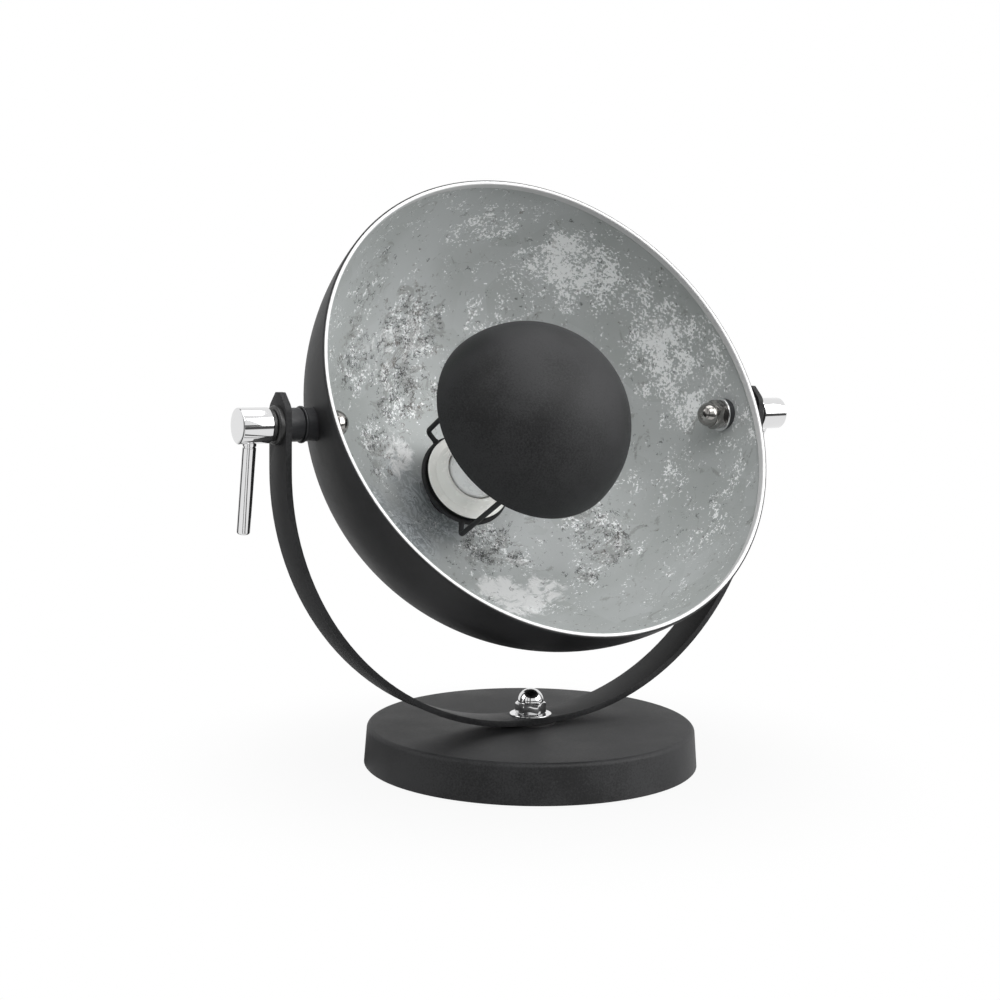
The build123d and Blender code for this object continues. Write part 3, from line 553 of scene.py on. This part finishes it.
def make_foot():
    """The pressed cover: a sloping skirt, a soft top edge and a flat top, one sheet thick."""
    slope = math.atan2(FOOT_RADIUS - FOOT_TOP_RADIUS, FOOT_HEIGHT - SKIRT_CLEARANCE)
    edge_height = FOOT_HEIGHT - FOOT_EDGE
    wall_there = FOOT_RADIUS - (edge_height - SKIRT_CLEARANCE) * math.tan(slope)
    edge = (wall_there - FOOT_EDGE / math.cos(slope), edge_height)
    tilt = math.degrees(slope)
    outline = [(FOOT_RADIUS - FOOT_WALL, SKIRT_CLEARANCE), (FOOT_RADIUS - FOOT_LIP, SKIRT_CLEARANCE)]
    outline += [(FOOT_RADIUS, SKIRT_CLEARANCE + FOOT_LIP)]
    outline += arc(edge, FOOT_EDGE, tilt, 90, 12)
    outline += [(radius, FOOT_HEIGHT) for radius in (*FOOT_TOP_RINGS, BOLT_HOLE)]
    outline += [(BOLT_HOLE, FOOT_HEIGHT - FOOT_WALL)]
    outline += arc(edge, FOOT_EDGE - FOOT_WALL, 90, tilt, 8)
    cover = turned("foot_drum", outline, Matrix.Identity(4), 224)
    finish_piece(cover, "black_powder_coat", "foot", "foot_cover")


def make_yoke():
    """The bent strip, with its edges broken."""
    strip = reshaped("yoke", "yoke_strip", YOKE_EDGE)
    finish_piece(strip, "black_powder_coat", "yoke_frame", "yoke")


# Where the leaf is torn with painted glints, cracked with dark specks of painted shade, clouded or marbled:
# the angle round the dish from +X, the angle from its back, a radius in millimetres, and how much.
TORN_AND_GLINTING = ((86, 72, 20, 0.5), (78, 79, 18, 0.5), (63, 63, 18, 0.7), (59, 71, 28, 1.15), (50, 74, 20, 1.0),
        (40, 77, 18, 0.7), (28, 74, 23, 1.05), (21, 71, 25, 1.1), (24, 66, 14, 0.9), (8, 69, 15, 0.9),
        (10, 80, 18, 0.6), (15, 86, 16, 0.6), (356, 82, 22, 0.5), (331, 75, 24, 0.35),
        (350, 62, 16, 0.4), (70, 50, 20, 0.4))
CRACKED_AND_SHADED = ((105, 45, 26, 1.0), (112, 33, 20, 1.0), (118, 28, 18, 0.9), (146, 25, 14, 0.9),
           (94, 26, 14, 0.7), (134, 46, 20, 0.8), (125, 58, 16, 0.6), (120, 70, 16, 0.4),
           (286, 16, 17, 1.1), (306, 17, 12, 1.0), (300, 24, 10, 0.8), (337, 37, 16, 0.8),
           (328, 43, 20, 0.8), (311, 42, 12, 0.8), (163, 21, 9, 0.8), (75, 36, 16, 0.5))
CLOUDED = ((276, 31, 16, 1.1), (281, 37, 16, 1.1), (295, 36, 14, 0.9), (140, 17, 14, 0.8),
           (110, 40, 26, 0.5), (28, 74, 18, 0.5), (59, 71, 18, 0.4))
MARBLED = ((187, 9, 16, 0.8), (237, 8, 16, 0.8), (153, 15, 12, 0.5), (215, 20, 20, 0.8), (190, 26, 14, 0.7))


def on_bowl(round_angle, back_angle):
    """A spot on the inside of the bowl."""
    turn, depth = math.radians(round_angle), math.radians(back_angle)
    inner = DISH_RADIUS - DISH_WALL
    flat = inner * math.sin(depth)
    spot = Vector((flat * math.cos(turn), flat * math.sin(turn), -inner * math.cos(depth)))
    return dish_matrix() @ (spot * MM)


def paint_drifts(piece):
    """Writes how torn with painted glints, cracked with painted shade, clouded and marbled the leaf is at
    each of its points.
    """
    layer = piece.data.color_attributes.new("drifts", "FLOAT_COLOR", "POINT")
    kinds = [
        [(on_bowl(turn, depth), radius * MM, amount) for turn, depth, radius, amount in spots]
        for spots in (TORN_AND_GLINTING, CRACKED_AND_SHADED, CLOUDED, MARBLED)
    ]
    for vertex, value in zip(piece.data.vertices, layer.data):
        amounts = []
        for spots in kinds:
            strongest = 0.0
            for centre, radius, amount in spots:
                fade = min(max(1.35 - (vertex.co - centre).length / radius, 0.0), 1.0)
                strongest = max(strongest, amount * fade * fade * (3 - 2 * fade))
            amounts.append(strongest)
        value.color = amounts


def make_dish():
    """The spun bowl with its folded hem, the leaf inside it and the leaf round the rim."""
    inner = DISH_RADIUS - DISH_WALL
    start = -math.degrees(math.acos(DISH_OPENING / DISH_RADIUS))
    outline = arc((0, 0), DISH_RADIUS, start, -0.6, 80)
    outline += arc((DISH_RADIUS - HEM_ROUNDING, -HEM_ROUNDING), HEM_ROUNDING, 0, 90)
    outline += [(HEM_INNER_RADIUS + 0.5, 0.0)]
    outline += [(HEM_INNER_RADIUS, -0.5), (HEM_INNER_RADIUS, -HEM_HEIGHT + HEM_CORNER)]
    outline += [(HEM_INNER_RADIUS + HEM_CORNER, -HEM_HEIGHT)]
    end = -math.degrees(math.acos(DISH_OPENING / inner))
    outline += arc((0, 0), inner, -2.2, end, 80)
    shell = turned("dish_bowl", outline, dish_matrix(), 224)
    finish_piece(shell, "black_powder_coat", "dish_head", "dish_shell")

    leaf = inner - LEAF_THICKNESS
    lip_in = HEM_INNER_RADIUS - LEAF_THICKNESS
    end = -math.degrees(math.acos(DISH_OPENING / leaf))
    inside = arc((0, 0), leaf, end, -2.2, 110)
    inside += [(lip_in + 0.1, -HEM_HEIGHT - 0.25), (lip_in, -HEM_HEIGHT + 0.1)]
    lining = turned("leaf_skin", inside, dish_matrix(), 224, closed=False)
    paint_drifts(lining)
    finish_piece(lining, "silver_leaf", "dish_head", "leaf_lining")

    band = [(lip_in, -HEM_HEIGHT + 0.1), (lip_in, -0.5)]
    band += arc((lip_in + LEAF_INNER_ROUNDING, -0.4), LEAF_INNER_ROUNDING, 180, 90)
    band += arc((LEAF_LIP - LEAF_LIP_ROUNDING, 0.0), LEAF_LIP_ROUNDING, 90, 0)
    rim = turned("leaf_rim", band, dish_matrix(), 224, closed=False)
    finish_piece(rim, "silver_leaf", "dish_head", finish=RIM_LEAF)


def make_cap():
    """The deep dome in front of the bulb, with a softened edge."""
    sphere = (CAP_EDGE_RADIUS**2 + CAP_HEIGHT**2) / (2 * CAP_HEIGHT)
    centre = (0, CAP_EDGE_STATION + CAP_HEIGHT - sphere)
    sink = centre[1] - CAP_EDGE_STATION
    start = -math.degrees(math.asin(sink / sphere))
    outline = arc(centre, sphere, start + CAP_LIP_TURN, 90, 64)
    outline += arc(centre, sphere - CAP_WALL, 90, start + CAP_LIP_TURN, 64)
    outline += [
        (CAP_EDGE_RADIUS - CAP_WALL + 0.1, CAP_EDGE_STATION + 0.2),
        (CAP_EDGE_RADIUS - CAP_WALL / 2, CAP_EDGE_STATION),
        (CAP_EDGE_RADIUS - 0.1, CAP_EDGE_STATION + 0.2),
    ]
    dome = turned("cap_dome", outline, dish_matrix(), 192)
    finish_piece(dome, "black_powder_coat", "dish_head", "centre_cap")


def make_wire_frame():
    """The ring round the cup, and a weld bead where each leg meets it."""
    loop = arc((LEG_RING_RADIUS, LEG_RING_STATION), WIRE_RADIUS, 0, 337.5, 15)
    ring = turned("wire_ring", loop, dish_matrix(), 128)
    finish_piece(ring, "black_powder_coat", "dish_head", "leg_ring")
    for number, angle in enumerate(LEG_ANGLES, start=1):
        turn = math.radians(angle)
        across = Vector((math.cos(turn), math.sin(turn), 0))
        spot = across * (LEG_RING_RADIUS + WIRE_RADIUS) * MM
        spot.z = LEG_RING_STATION * MM
        bead = [(0.0, -1.5), (0.9, -1.3), (1.6, -0.5), (1.75, 0.1), (1.6, 0.6), (1.45, 1.0)]
        place = dish_matrix() @ axis_matrix(spot, across, Vector((0, 0, 1)))
        weld = turned(f"weld_bead_{number}", bead, place, 24, closed=False)
        finish_piece(weld, "black_powder_coat", "dish_head")


def make_holder():
    """The cup round the lampholder, and the holder's stepped white body."""
    cup = [
        (CUP_RADIUS - CUP_WALL, CUP_FRONT),
        (CUP_RADIUS - 0.3, CUP_FRONT),
        (CUP_RADIUS, CUP_FRONT - 0.3),
        (CUP_RADIUS, -105.0),
        (CUP_RADIUS - 0.4, -105.9),
        (16.1, -116.6),
        (15.7, -117.3),
        (12.9, -121.2),
        (12.9, -123.1),
        (12.2, -123.1),
        (12.2, -121.2),
        (15.2, -117.0),
        (CUP_RADIUS - CUP_WALL, -105.5),
    ]
    shell = turned("holder_shell", cup, dish_matrix(), 128)
    finish_piece(shell, "black_powder_coat", "dish_head", "holder_cup")

    face = [(5.05, -134.0), (11.2, -134.0), (11.5, -133.7), (11.5, -121.2), (14.5, -117.0)]
    face += [(22.5, -105.5), (22.5, -98.8), (24.3, -98.8)]
    face += arc((24.0, -98.0), 0.6, -60, 60, 6)
    face += [(23.6, -97.3), (22.4, -97.15), (21.7, -96.9), (21.2, -96.85), (20.7, -97.0)]
    face += [(20.2, -96.95), (19.8, -96.6), (19.2, -95.6), (18.5, -93.6)]
    face += arc((17.2, -91.6), 0.6, 20, 90, 5)
    face += [(16.6, -91.0)]
    face += arc((16.2, -91.5), 0.5, 90, 180, 4)
    face += [(15.7, -96.0), (14.25, -96.0), (14.25, -115.6), (9.0, -115.6), (9.0, -127.0)]
    face += [(5.05, -127.0)]
    body = turned("holder_body", face, dish_matrix(), 128)
    finish_piece(body, "white_holder", "dish_head", "lampholder")


def make_bulb():
    """The white neck of the bulb and its opal globe."""
    neck = [(10.6, -96.6), (11.45, -96.6), (11.45, -93.6), (14.5, -93.6), (14.8, -93.2)]
    neck += [(14.85, -91.0), (15.0, -88.5), (15.4, -85.2), (15.9, -82.0), (16.3, -79.4)]
    neck += [(16.4, -78.2), (16.2, -78.0), (14.2, -78.0), (12.8, -88.5), (10.6, -92.4)]
    collar = turned("bulb_collar", neck, dish_matrix(), 96)
    finish_piece(collar, "white_bulb_neck", "dish_head", "bulb_neck")

    station, foot = -62.0, -78.0
    outer, wall = 22.5, 1.2
    start = math.degrees(math.asin((foot - station) / outer))
    end = math.degrees(math.asin((foot - station) / (outer - wall)))
    glass = arc((0, station), outer, start, 90, 40)
    glass += arc((0, station), outer - wall, 90, end, 40)
    globe = turned("opal_globe", glass, dish_matrix(), 96)
    finish_piece(globe, "opal_glass", "dish_head", "bulb_globe")


def hexagon_nut(name, place):
    """A domed nut on a plane: hexagon with its upper corners turned off, and a round crown."""
    deselect()
    bpy.ops.mesh.primitive_cylinder_add(
        vertices=6,
        radius=NUT_FLATS / 2 / math.cos(math.radians(30)) * MM,
        depth=NUT_HEX * MM,
        location=(0, 0, NUT_HEX / 2 * MM),
        rotation=(0, 0, math.radians(90)),
    )
    hexagon = named(name)
    bpy.ops.object.transform_apply(location=True, rotation=True, scale=True)
    half = NUT_FLATS / 2
    cone = [(0, 0), (half + 0.4, 0), (half + 1.4, 0.5), (half + 1.4, NUT_HEX - 0.85)]
    cone += [(half + 0.5, NUT_HEX - 0.32), (half - 0.2, NUT_HEX), (0, NUT_HEX)]
    cutter = turned("nut_turning", cone, Matrix.Identity(4), 96)
    pick(hexagon)
    lathe = hexagon.modifiers.new("corners", "BOOLEAN")
    lathe.operation = "INTERSECT"
    lathe.solver = "EXACT"
    lathe.object = cutter
    apply_all(hexagon)
    deselect()
    bpy.data.objects.remove(cutter)
    pick(hexagon)
    breaker = hexagon.modifiers.new("broken_edges", "BEVEL")
    breaker.width = 0.16 * MM
    breaker.segments = 2
    breaker.limit_method = "ANGLE"
    breaker.angle_limit = math.radians(28)
    apply_all(hexagon)
    hexagon.matrix_world = place
    settle(hexagon)
    crown = NUT_HEIGHT - NUT_DOME
    crest = [(0, NUT_HEX - 0.4), (NUT_DOME, NUT_HEX - 0.4), (NUT_DOME, NUT_HEX + 0.2)]
    crest += arc((0, crown), NUT_DOME, 4, 90, 24)
    dome = turned(name + "_dome", crest, place, 64)
    deselect()
    dome.select_set(True)
    hexagon.select_set(True)
    bpy.context.view_layer.objects.active = hexagon
    bpy.ops.object.join()
    return hexagon


def flat_washer(name, place, radius, thickness=WASHER):
    """A plated washer with a shallow slope and a rolled edge, standing on its frame's plane."""
    outline = [(BOLT_HOLE, 0), (radius - 0.15, 0), (radius, 0.15), (radius, thickness * 0.45)]
    outline += arc((radius - 0.35, thickness * 0.45), 0.35, 10, 80, 4)
    outline += [(radius - 1.0, thickness * 0.72), (NUT_FLATS / 2, thickness), (BOLT_HOLE, thickness)]
    return turned(name, outline, place, 96)


def make_pan_fittings():
    """The washer and the domed nut that hold the yoke down on the foot."""
    up = Vector((0, 0, 1))
    corner = Vector((math.cos(PAN_NUT_TURN), math.sin(PAN_NUT_TURN), 0))
    yoke_face = axis_matrix(up * YOKE_TOP_FACE * MM, up, corner)
    washer = flat_washer("pan_flange", yoke_face, WASHER_RADIUS)
    finish_piece(washer, "polished_chrome", "foot", "pan_washer")
    seat = axis_matrix(up * (YOKE_TOP_FACE + WASHER) * MM, up, corner)
    nut = hexagon_nut("pan_dome_nut", seat)
    finish_piece(nut, "polished_chrome", "foot", "pan_nut")


def make_inner_fixing(side):
    """The washer and the domed nut inside the bowl."""
    name = SIDES[side]
    inwards = axis_matrix(
        PIVOT + Vector((side * SEAT_FACE * MM, 0, 0)), Vector((-side, 0, 0)), DISH_AXIS
    )
    washer = flat_washer(f"{name}_nut_flange", inwards, INNER_WASHER_RADIUS)
    finish_piece(washer, "polished_chrome", "dish_head", f"{name}_inner_washer")
    seat = inwards @ Matrix.Translation((0, 0, WASHER * MM))
    nut = hexagon_nut(f"{name}_dome_nut", seat)
    # The inner nut keeps the chrome slot but gets the copy darkened with painted shade.
    finish_piece(nut, "polished_chrome", "dish_head", f"{name}_inner_nut", finish=SHADED_CHROME)


def make_spacers(side):
    """The ridged ring and the drum that keep the bowl off the yoke."""
    name = SIDES[side]
    along = trunnion_matrix(side)
    ridge = [(BOLT_HOLE, RIDGE_START), (RIDGE_RADIUS - 0.5, RIDGE_START)]
    ridge += arc((RIDGE_RADIUS - 0.5, RIDGE_START + 0.5), 0.5, -90, 0, 4)
    ridge += arc((RIDGE_RADIUS - 0.5, RIDGE_END - 0.5), 0.5, 0, 90, 4)
    ridge += [(BOLT_HOLE, RIDGE_END)]
    ring = turned(f"{name}_ridge_ring", ridge, along, 64)
    finish_piece(ring, "black_rubber", "dish_head", f"{name}_ridge_washer")

    drum = [(BOLT_HOLE, RIDGE_END), (SPACER_RADIUS - 0.4, RIDGE_END), (SPACER_RADIUS, RIDGE_END + 0.5)]
    drum += [(SPACER_RADIUS, YOKE_INSIDE - 0.5), (SPACER_RADIUS - 0.4, YOKE_INSIDE)]
    drum += [(BOLT_HOLE, YOKE_INSIDE)]
    spacer = turned(f"{name}_spacer_drum", drum, along, 64)
    finish_piece(spacer, "black_rubber", "dish_head", f"{name}_outer_spacer")


def make_clamp(side):
    """The outer washer, and the collar, knob and lever that turn on the stud."""
    name = SIDES[side]
    along = trunnion_matrix(side)
    collar_start = YOKE_HALF_SPAN + OUTER_WASHER[side]
    knob_start = collar_start + COLLAR_LENGTH
    knob_end = knob_start + KNOB_LENGTH
    edge, turn_in = OUTER_WASHER_RADIUS[side], OUTER_WASHER_ROUNDING[side]
    bowl = [(CLAMP_BORE, YOKE_HALF_SPAN), (edge - 0.1, YOKE_HALF_SPAN), (edge, YOKE_HALF_SPAN + 0.1)]
    bowl += arc((edge - turn_in, collar_start - turn_in), turn_in, 0, 75, 6)
    bowl += [(COLLAR_RADIUS, collar_start), (CLAMP_BORE, collar_start)]
    outer = turned(f"{name}_domed_washer", bowl, along, 72)
    finish_piece(outer, "black_plastic", "yoke_frame", f"{name}_outer_washer")

    sleeve = [(CLAMP_BORE, collar_start), (COLLAR_RADIUS - 0.3, collar_start)]
    sleeve += [(COLLAR_RADIUS, collar_start + 0.3), (COLLAR_RADIUS, knob_start - 0.3)]
    sleeve += [(COLLAR_RADIUS - 0.3, knob_start), (CLAMP_BORE, knob_start)]
    collar = turned(f"{name}_collar_ring", sleeve, along, 64)
    finish_piece(collar, "black_plastic", f"{name}_clamp", f"{name}_knob_collar")

    body = [(BOLT_HOLE, knob_start), (KNOB_RADIUS - 0.8, knob_start)]
    body += arc((KNOB_RADIUS - 0.8, knob_start + 0.8), 0.8, -90, 0, 5)
    body += arc((KNOB_RADIUS - 0.35, knob_end - 0.35), 0.35, 0, 90, 4)
    body += [(KNOB_RADIUS - 2.0, knob_end), (0, knob_end)]
    body += [(0, knob_start + KNOB_BORE_DEPTH), (BOLT_HOLE, knob_start + KNOB_BORE_DEPTH)]
    knob = turned(f"{name}_knob_drum", body, along, 96)
    finish_piece(knob, "polished_chrome", f"{name}_clamp", f"{name}_clamp_knob")

    turn = LEVER_TURNS[side]
    down = Vector((0, math.sin(turn), -math.cos(turn)))
    root = PIVOT + Vector((side * (knob_start + LEVER_ALONG_KNOB) * MM, 0, 0))
    groove = KNOB_RADIUS + 0.9
    groove_radius = LEVER_RADIUS - LEVER_GROOVE
    rod = [(0, LEVER_ROOT + 0.1), (LEVER_RADIUS, LEVER_ROOT + 0.1), (LEVER_RADIUS, groove)]
    rod += [(groove_radius, groove + 0.25), (groove_radius, groove + 0.75)]
    rod += [(LEVER_RADIUS, groove + 1.05)]
    rod += arc((LEVER_RADIUS - LEVER_END, LEVER_REACH - LEVER_END), LEVER_END, 0, 90, 6)
    rod += [(0, LEVER_REACH)]
    handle = turned(f"{name}_lever_rod", rod, axis_matrix(root, down, Vector((side, 0, 0))), 64)
    finish_piece(handle, "polished_chrome", f"{name}_clamp", f"{name}_lever")


def make_back():
    """The cover over the terminals, the lead's inlet and the earth screw."""
    cover = reshaped("rear_cover", "terminal_cover", 0.25, 2)
    finish_piece(cover, "black_powder_coat", "dish_head", "rear_cover")
    inlet = reshaped("lead_inlet", "inlet_nose", 0.3, 2)
    finish_piece(inlet, "black_plastic", "dish_head", "lead_inlet")
    screw = reshaped("earth_screw", "earth_pan_screw", 0.5, 3)
    finish_piece(screw, "zinc_plated_steel", "dish_head", "earth_screw")


# ------------------------------------------------------------------ stage


# The room is white all round. Mirrored rays also see dark gaps in it: low in front, and upright
# ones at three corners, each an angle in degrees left of the front and a half width.
WORLD_LEVEL = 0.52
GAP_LEVEL = 0.08
ROOM_CORNERS = ((38, 0.075), (62, 0.04), (132, 0.24))
HORIZON = 0.05


def split_xyz(tree, vector):
    parts = node(tree, "ShaderNodeSeparateXYZ")
    tree.links.new(vector, parts.inputs[0])
    return parts.outputs


def seen_rays(tree, path):
    """1 for rays that show the white background: camera, glossy and transmission rays."""
    mirrored = math_node(tree, "MAXIMUM", path["Is Glossy Ray"], path["Is Transmission Ray"])
    return math_node(tree, "MAXIMUM", path["Is Camera Ray"], mirrored)


def standing_gap(tree, direction, azimuth, width):
    """1 inside a narrow upright gap between two white walls, at an angle left of the front."""
    turn = math.radians(azimuth)
    east, north = direction["X"], direction["Y"]
    across = math_node(tree, "MULTIPLY", east, math.cos(turn))
    across = add_share(tree, across, north, -math.sin(turn))
    ahead = math_node(tree, "MULTIPLY", east, -math.sin(turn))
    ahead = add_share(tree, ahead, north, -math.cos(turn))
    near = remap(tree, math_node(tree, "ABSOLUTE", across), width, 1.5 * width, 1.0, 0.0)
    return math_node(tree, "MULTIPLY", near, remap(tree, ahead, 0.0, 0.1))


def room_gaps(tree, direction):
    """1 inside any of the upright gaps."""
    gaps = [standing_gap(tree, direction, azimuth, width) for azimuth, width in ROOM_CORNERS]
    dark = gaps[0]
    for gap in gaps[1:]:
        dark = math_node(tree, "MAXIMUM", dark, gap)
    return dark


def make_floor():
    """A floor that keeps the lamp's shadow and otherwise shows white."""
    deselect()
    bpy.ops.mesh.primitive_plane_add(size=8.0, location=(0, 0, -0.0005))
    floor = named("floor")
    made, tree, shader, place = material("pale_floor")
    shader.inputs["Base Color"].default_value = grey(0.3)
    shader.inputs["Roughness"].default_value = 0.9
    shader.inputs["Specular IOR Level"].default_value = 0.0

    path = node(tree, "ShaderNodeLightPath").outputs
    unit = node(tree, "ShaderNodeVectorMath", operation="NORMALIZE")
    tree.links.new(place, unit.inputs[0])
    spoke = split_xyz(tree, unit.outputs["Vector"])
    beyond = remap(tree, split_xyz(tree, place)["Y"], -0.60, -0.45, 1.0, 0.0)
    dark = math_node(tree, "MAXIMUM", beyond, room_gaps(tree, spoke))
    darker = math_node(tree, "MULTIPLY", dark, 1.0 - GAP_LEVEL)
    mirrored = math_node(tree, "MULTIPLY", darker, path["Is Glossy Ray"])
    glow = node(tree, "ShaderNodeEmission")
    glow.inputs["Color"].default_value = grey(1.0)
    tree.links.new(math_node(tree, "SUBTRACT", 1.0, mirrored), glow.inputs["Strength"])

    length = node(tree, "ShaderNodeVectorMath", operation="LENGTH")
    tree.links.new(place, length.inputs[0])
    away = remap(tree, length.outputs["Value"], 0.085, 0.22, 0.93, 1.0)
    blend = node(tree, "ShaderNodeMixShader")
    tree.links.new(math_node(tree, "MULTIPLY", away, seen_rays(tree, path)), blend.inputs[0])
    tree.links.new(shader.outputs[0], blend.inputs[1])
    tree.links.new(glow.outputs[0], blend.inputs[2])
    tree.links.new(blend.outputs[0], tree.nodes["Material Output"].inputs["Surface"])
    floor.data.materials.append(made)


def make_world():
    """White for the rays that show it, and a plain level for the light it gives."""
    world = bpy.data.worlds.new("studio")
    bpy.context.scene.world = world
    world.use_nodes = True
    tree = world.node_tree
    background = tree.nodes["Background"]
    background.inputs["Color"].default_value = grey(1.0)
    path = node(tree, "ShaderNodeLightPath").outputs
    direction = split_xyz(tree, node(tree, "ShaderNodeTexCoord").outputs["Generated"])

    height = math_node(tree, "ABSOLUTE", math_node(tree, "SUBTRACT", direction["Z"], HORIZON))
    low = remap(tree, height, 0.06, 0.09, 1.0, 0.0)
    front = remap(tree, direction["Y"], -0.25, -0.05, 1.0, 0.0)
    low_front = math_node(tree, "MULTIPLY", low, front)
    dark = math_node(tree, "MAXIMUM", low_front, room_gaps(tree, direction))
    room = math_node(tree, "SUBTRACT", 1.0, math_node(tree, "MULTIPLY", dark, 1.0 - GAP_LEVEL))
    mirrored = math_node(tree, "MULTIPLY", room, path["Is Glossy Ray"])
    clear = math_node(tree, "MAXIMUM", path["Is Camera Ray"], path["Is Transmission Ray"])
    shown = math_node(tree, "MAXIMUM", clear, mirrored)
    plain = math_node(tree, "SUBTRACT", 1.0, seen_rays(tree, path))
    tree.links.new(add_share(tree, shown, plain, WORLD_LEVEL), background.inputs["Strength"])


# Name, place, aim, width and height in metres, and power in watts.
LAMPS = (
    ("front_window", (-0.25, -1.15, 1.4), (0, 0, 0.15), (0.7, 0.7), 11.5),
    ("right_window", (1.05, -1.15, 0.9), (0, 0, 0.15), (1.5, 1.5), 27.0),
    ("overhead", (0.0, 0.0, 1.5), (0, 0, 0.12), (1.0, 1.0), 8.0),
    ("left_rear_window", (-1.3, 0.6, 0.9), (0, 0, 0.15), (0.8, 1.0), 8.0),
)


def hang_lamps():
    """The windows and the overhead light, as plain area lights."""
    for name, place, aim, size, power in LAMPS:
        data = bpy.data.lights.new(name, "AREA")
        data.shape = "RECTANGLE"
        data.size, data.size_y = size
        data.energy = power
        light = bpy.data.objects.new(name, data)
        bpy.context.scene.collection.objects.link(light)
        light.location = place
        direction = Vector(aim) - Vector(place)
        light.rotation_euler = direction.to_track_quat("-Z", "Y").to_euler()


CAMERA_AIM = Vector((0.0, 0.033, 0.1461))
CAMERA_DISTANCE = 0.9092
CAMERA_AZIMUTH = math.radians(31.38)
CAMERA_ELEVATION = math.radians(5.21)
CAMERA_ROLL = math.radians(0.67)
CAMERA_LENS = 62.32
CAMERA_SHIFT_Y = -0.026


def place_camera():
    """The camera, a little rolled, with its small shift."""
    data = bpy.data.cameras.new("camera")
    camera = bpy.data.objects.new("camera", data)
    bpy.context.scene.collection.objects.link(camera)
    flat = math.cos(CAMERA_ELEVATION)
    back = Vector(
        (
            -math.sin(CAMERA_AZIMUTH) * flat,
            -math.cos(CAMERA_AZIMUTH) * flat,
            math.sin(CAMERA_ELEVATION),
        )
    )
    right = Vector((math.cos(CAMERA_AZIMUTH), -math.sin(CAMERA_AZIMUTH), 0))
    place = axis_matrix(CAMERA_AIM + back * CAMERA_DISTANCE, back, right)
    camera.matrix_world = place @ Matrix.Rotation(CAMERA_ROLL, 4, "Z")
    data.sensor_width = 36.0
    data.lens = CAMERA_LENS
    data.shift_y = CAMERA_SHIFT_Y
    data.clip_start = 0.01
    bpy.context.scene.camera = camera
    bpy.context.scene.view_settings.view_transform = "Standard"


dress_frame()
make_foot()
make_yoke()
make_pan_fittings()
make_dish()
make_cap()
make_wire_frame()
make_holder()
make_bulb()
for trunnion_side in SIDES:
    make_inner_fixing(trunnion_side)
    make_spacers(trunnion_side)
    make_clamp(trunnion_side)
make_back()
make_floor()
make_world()
hang_lamps()
place_camera()
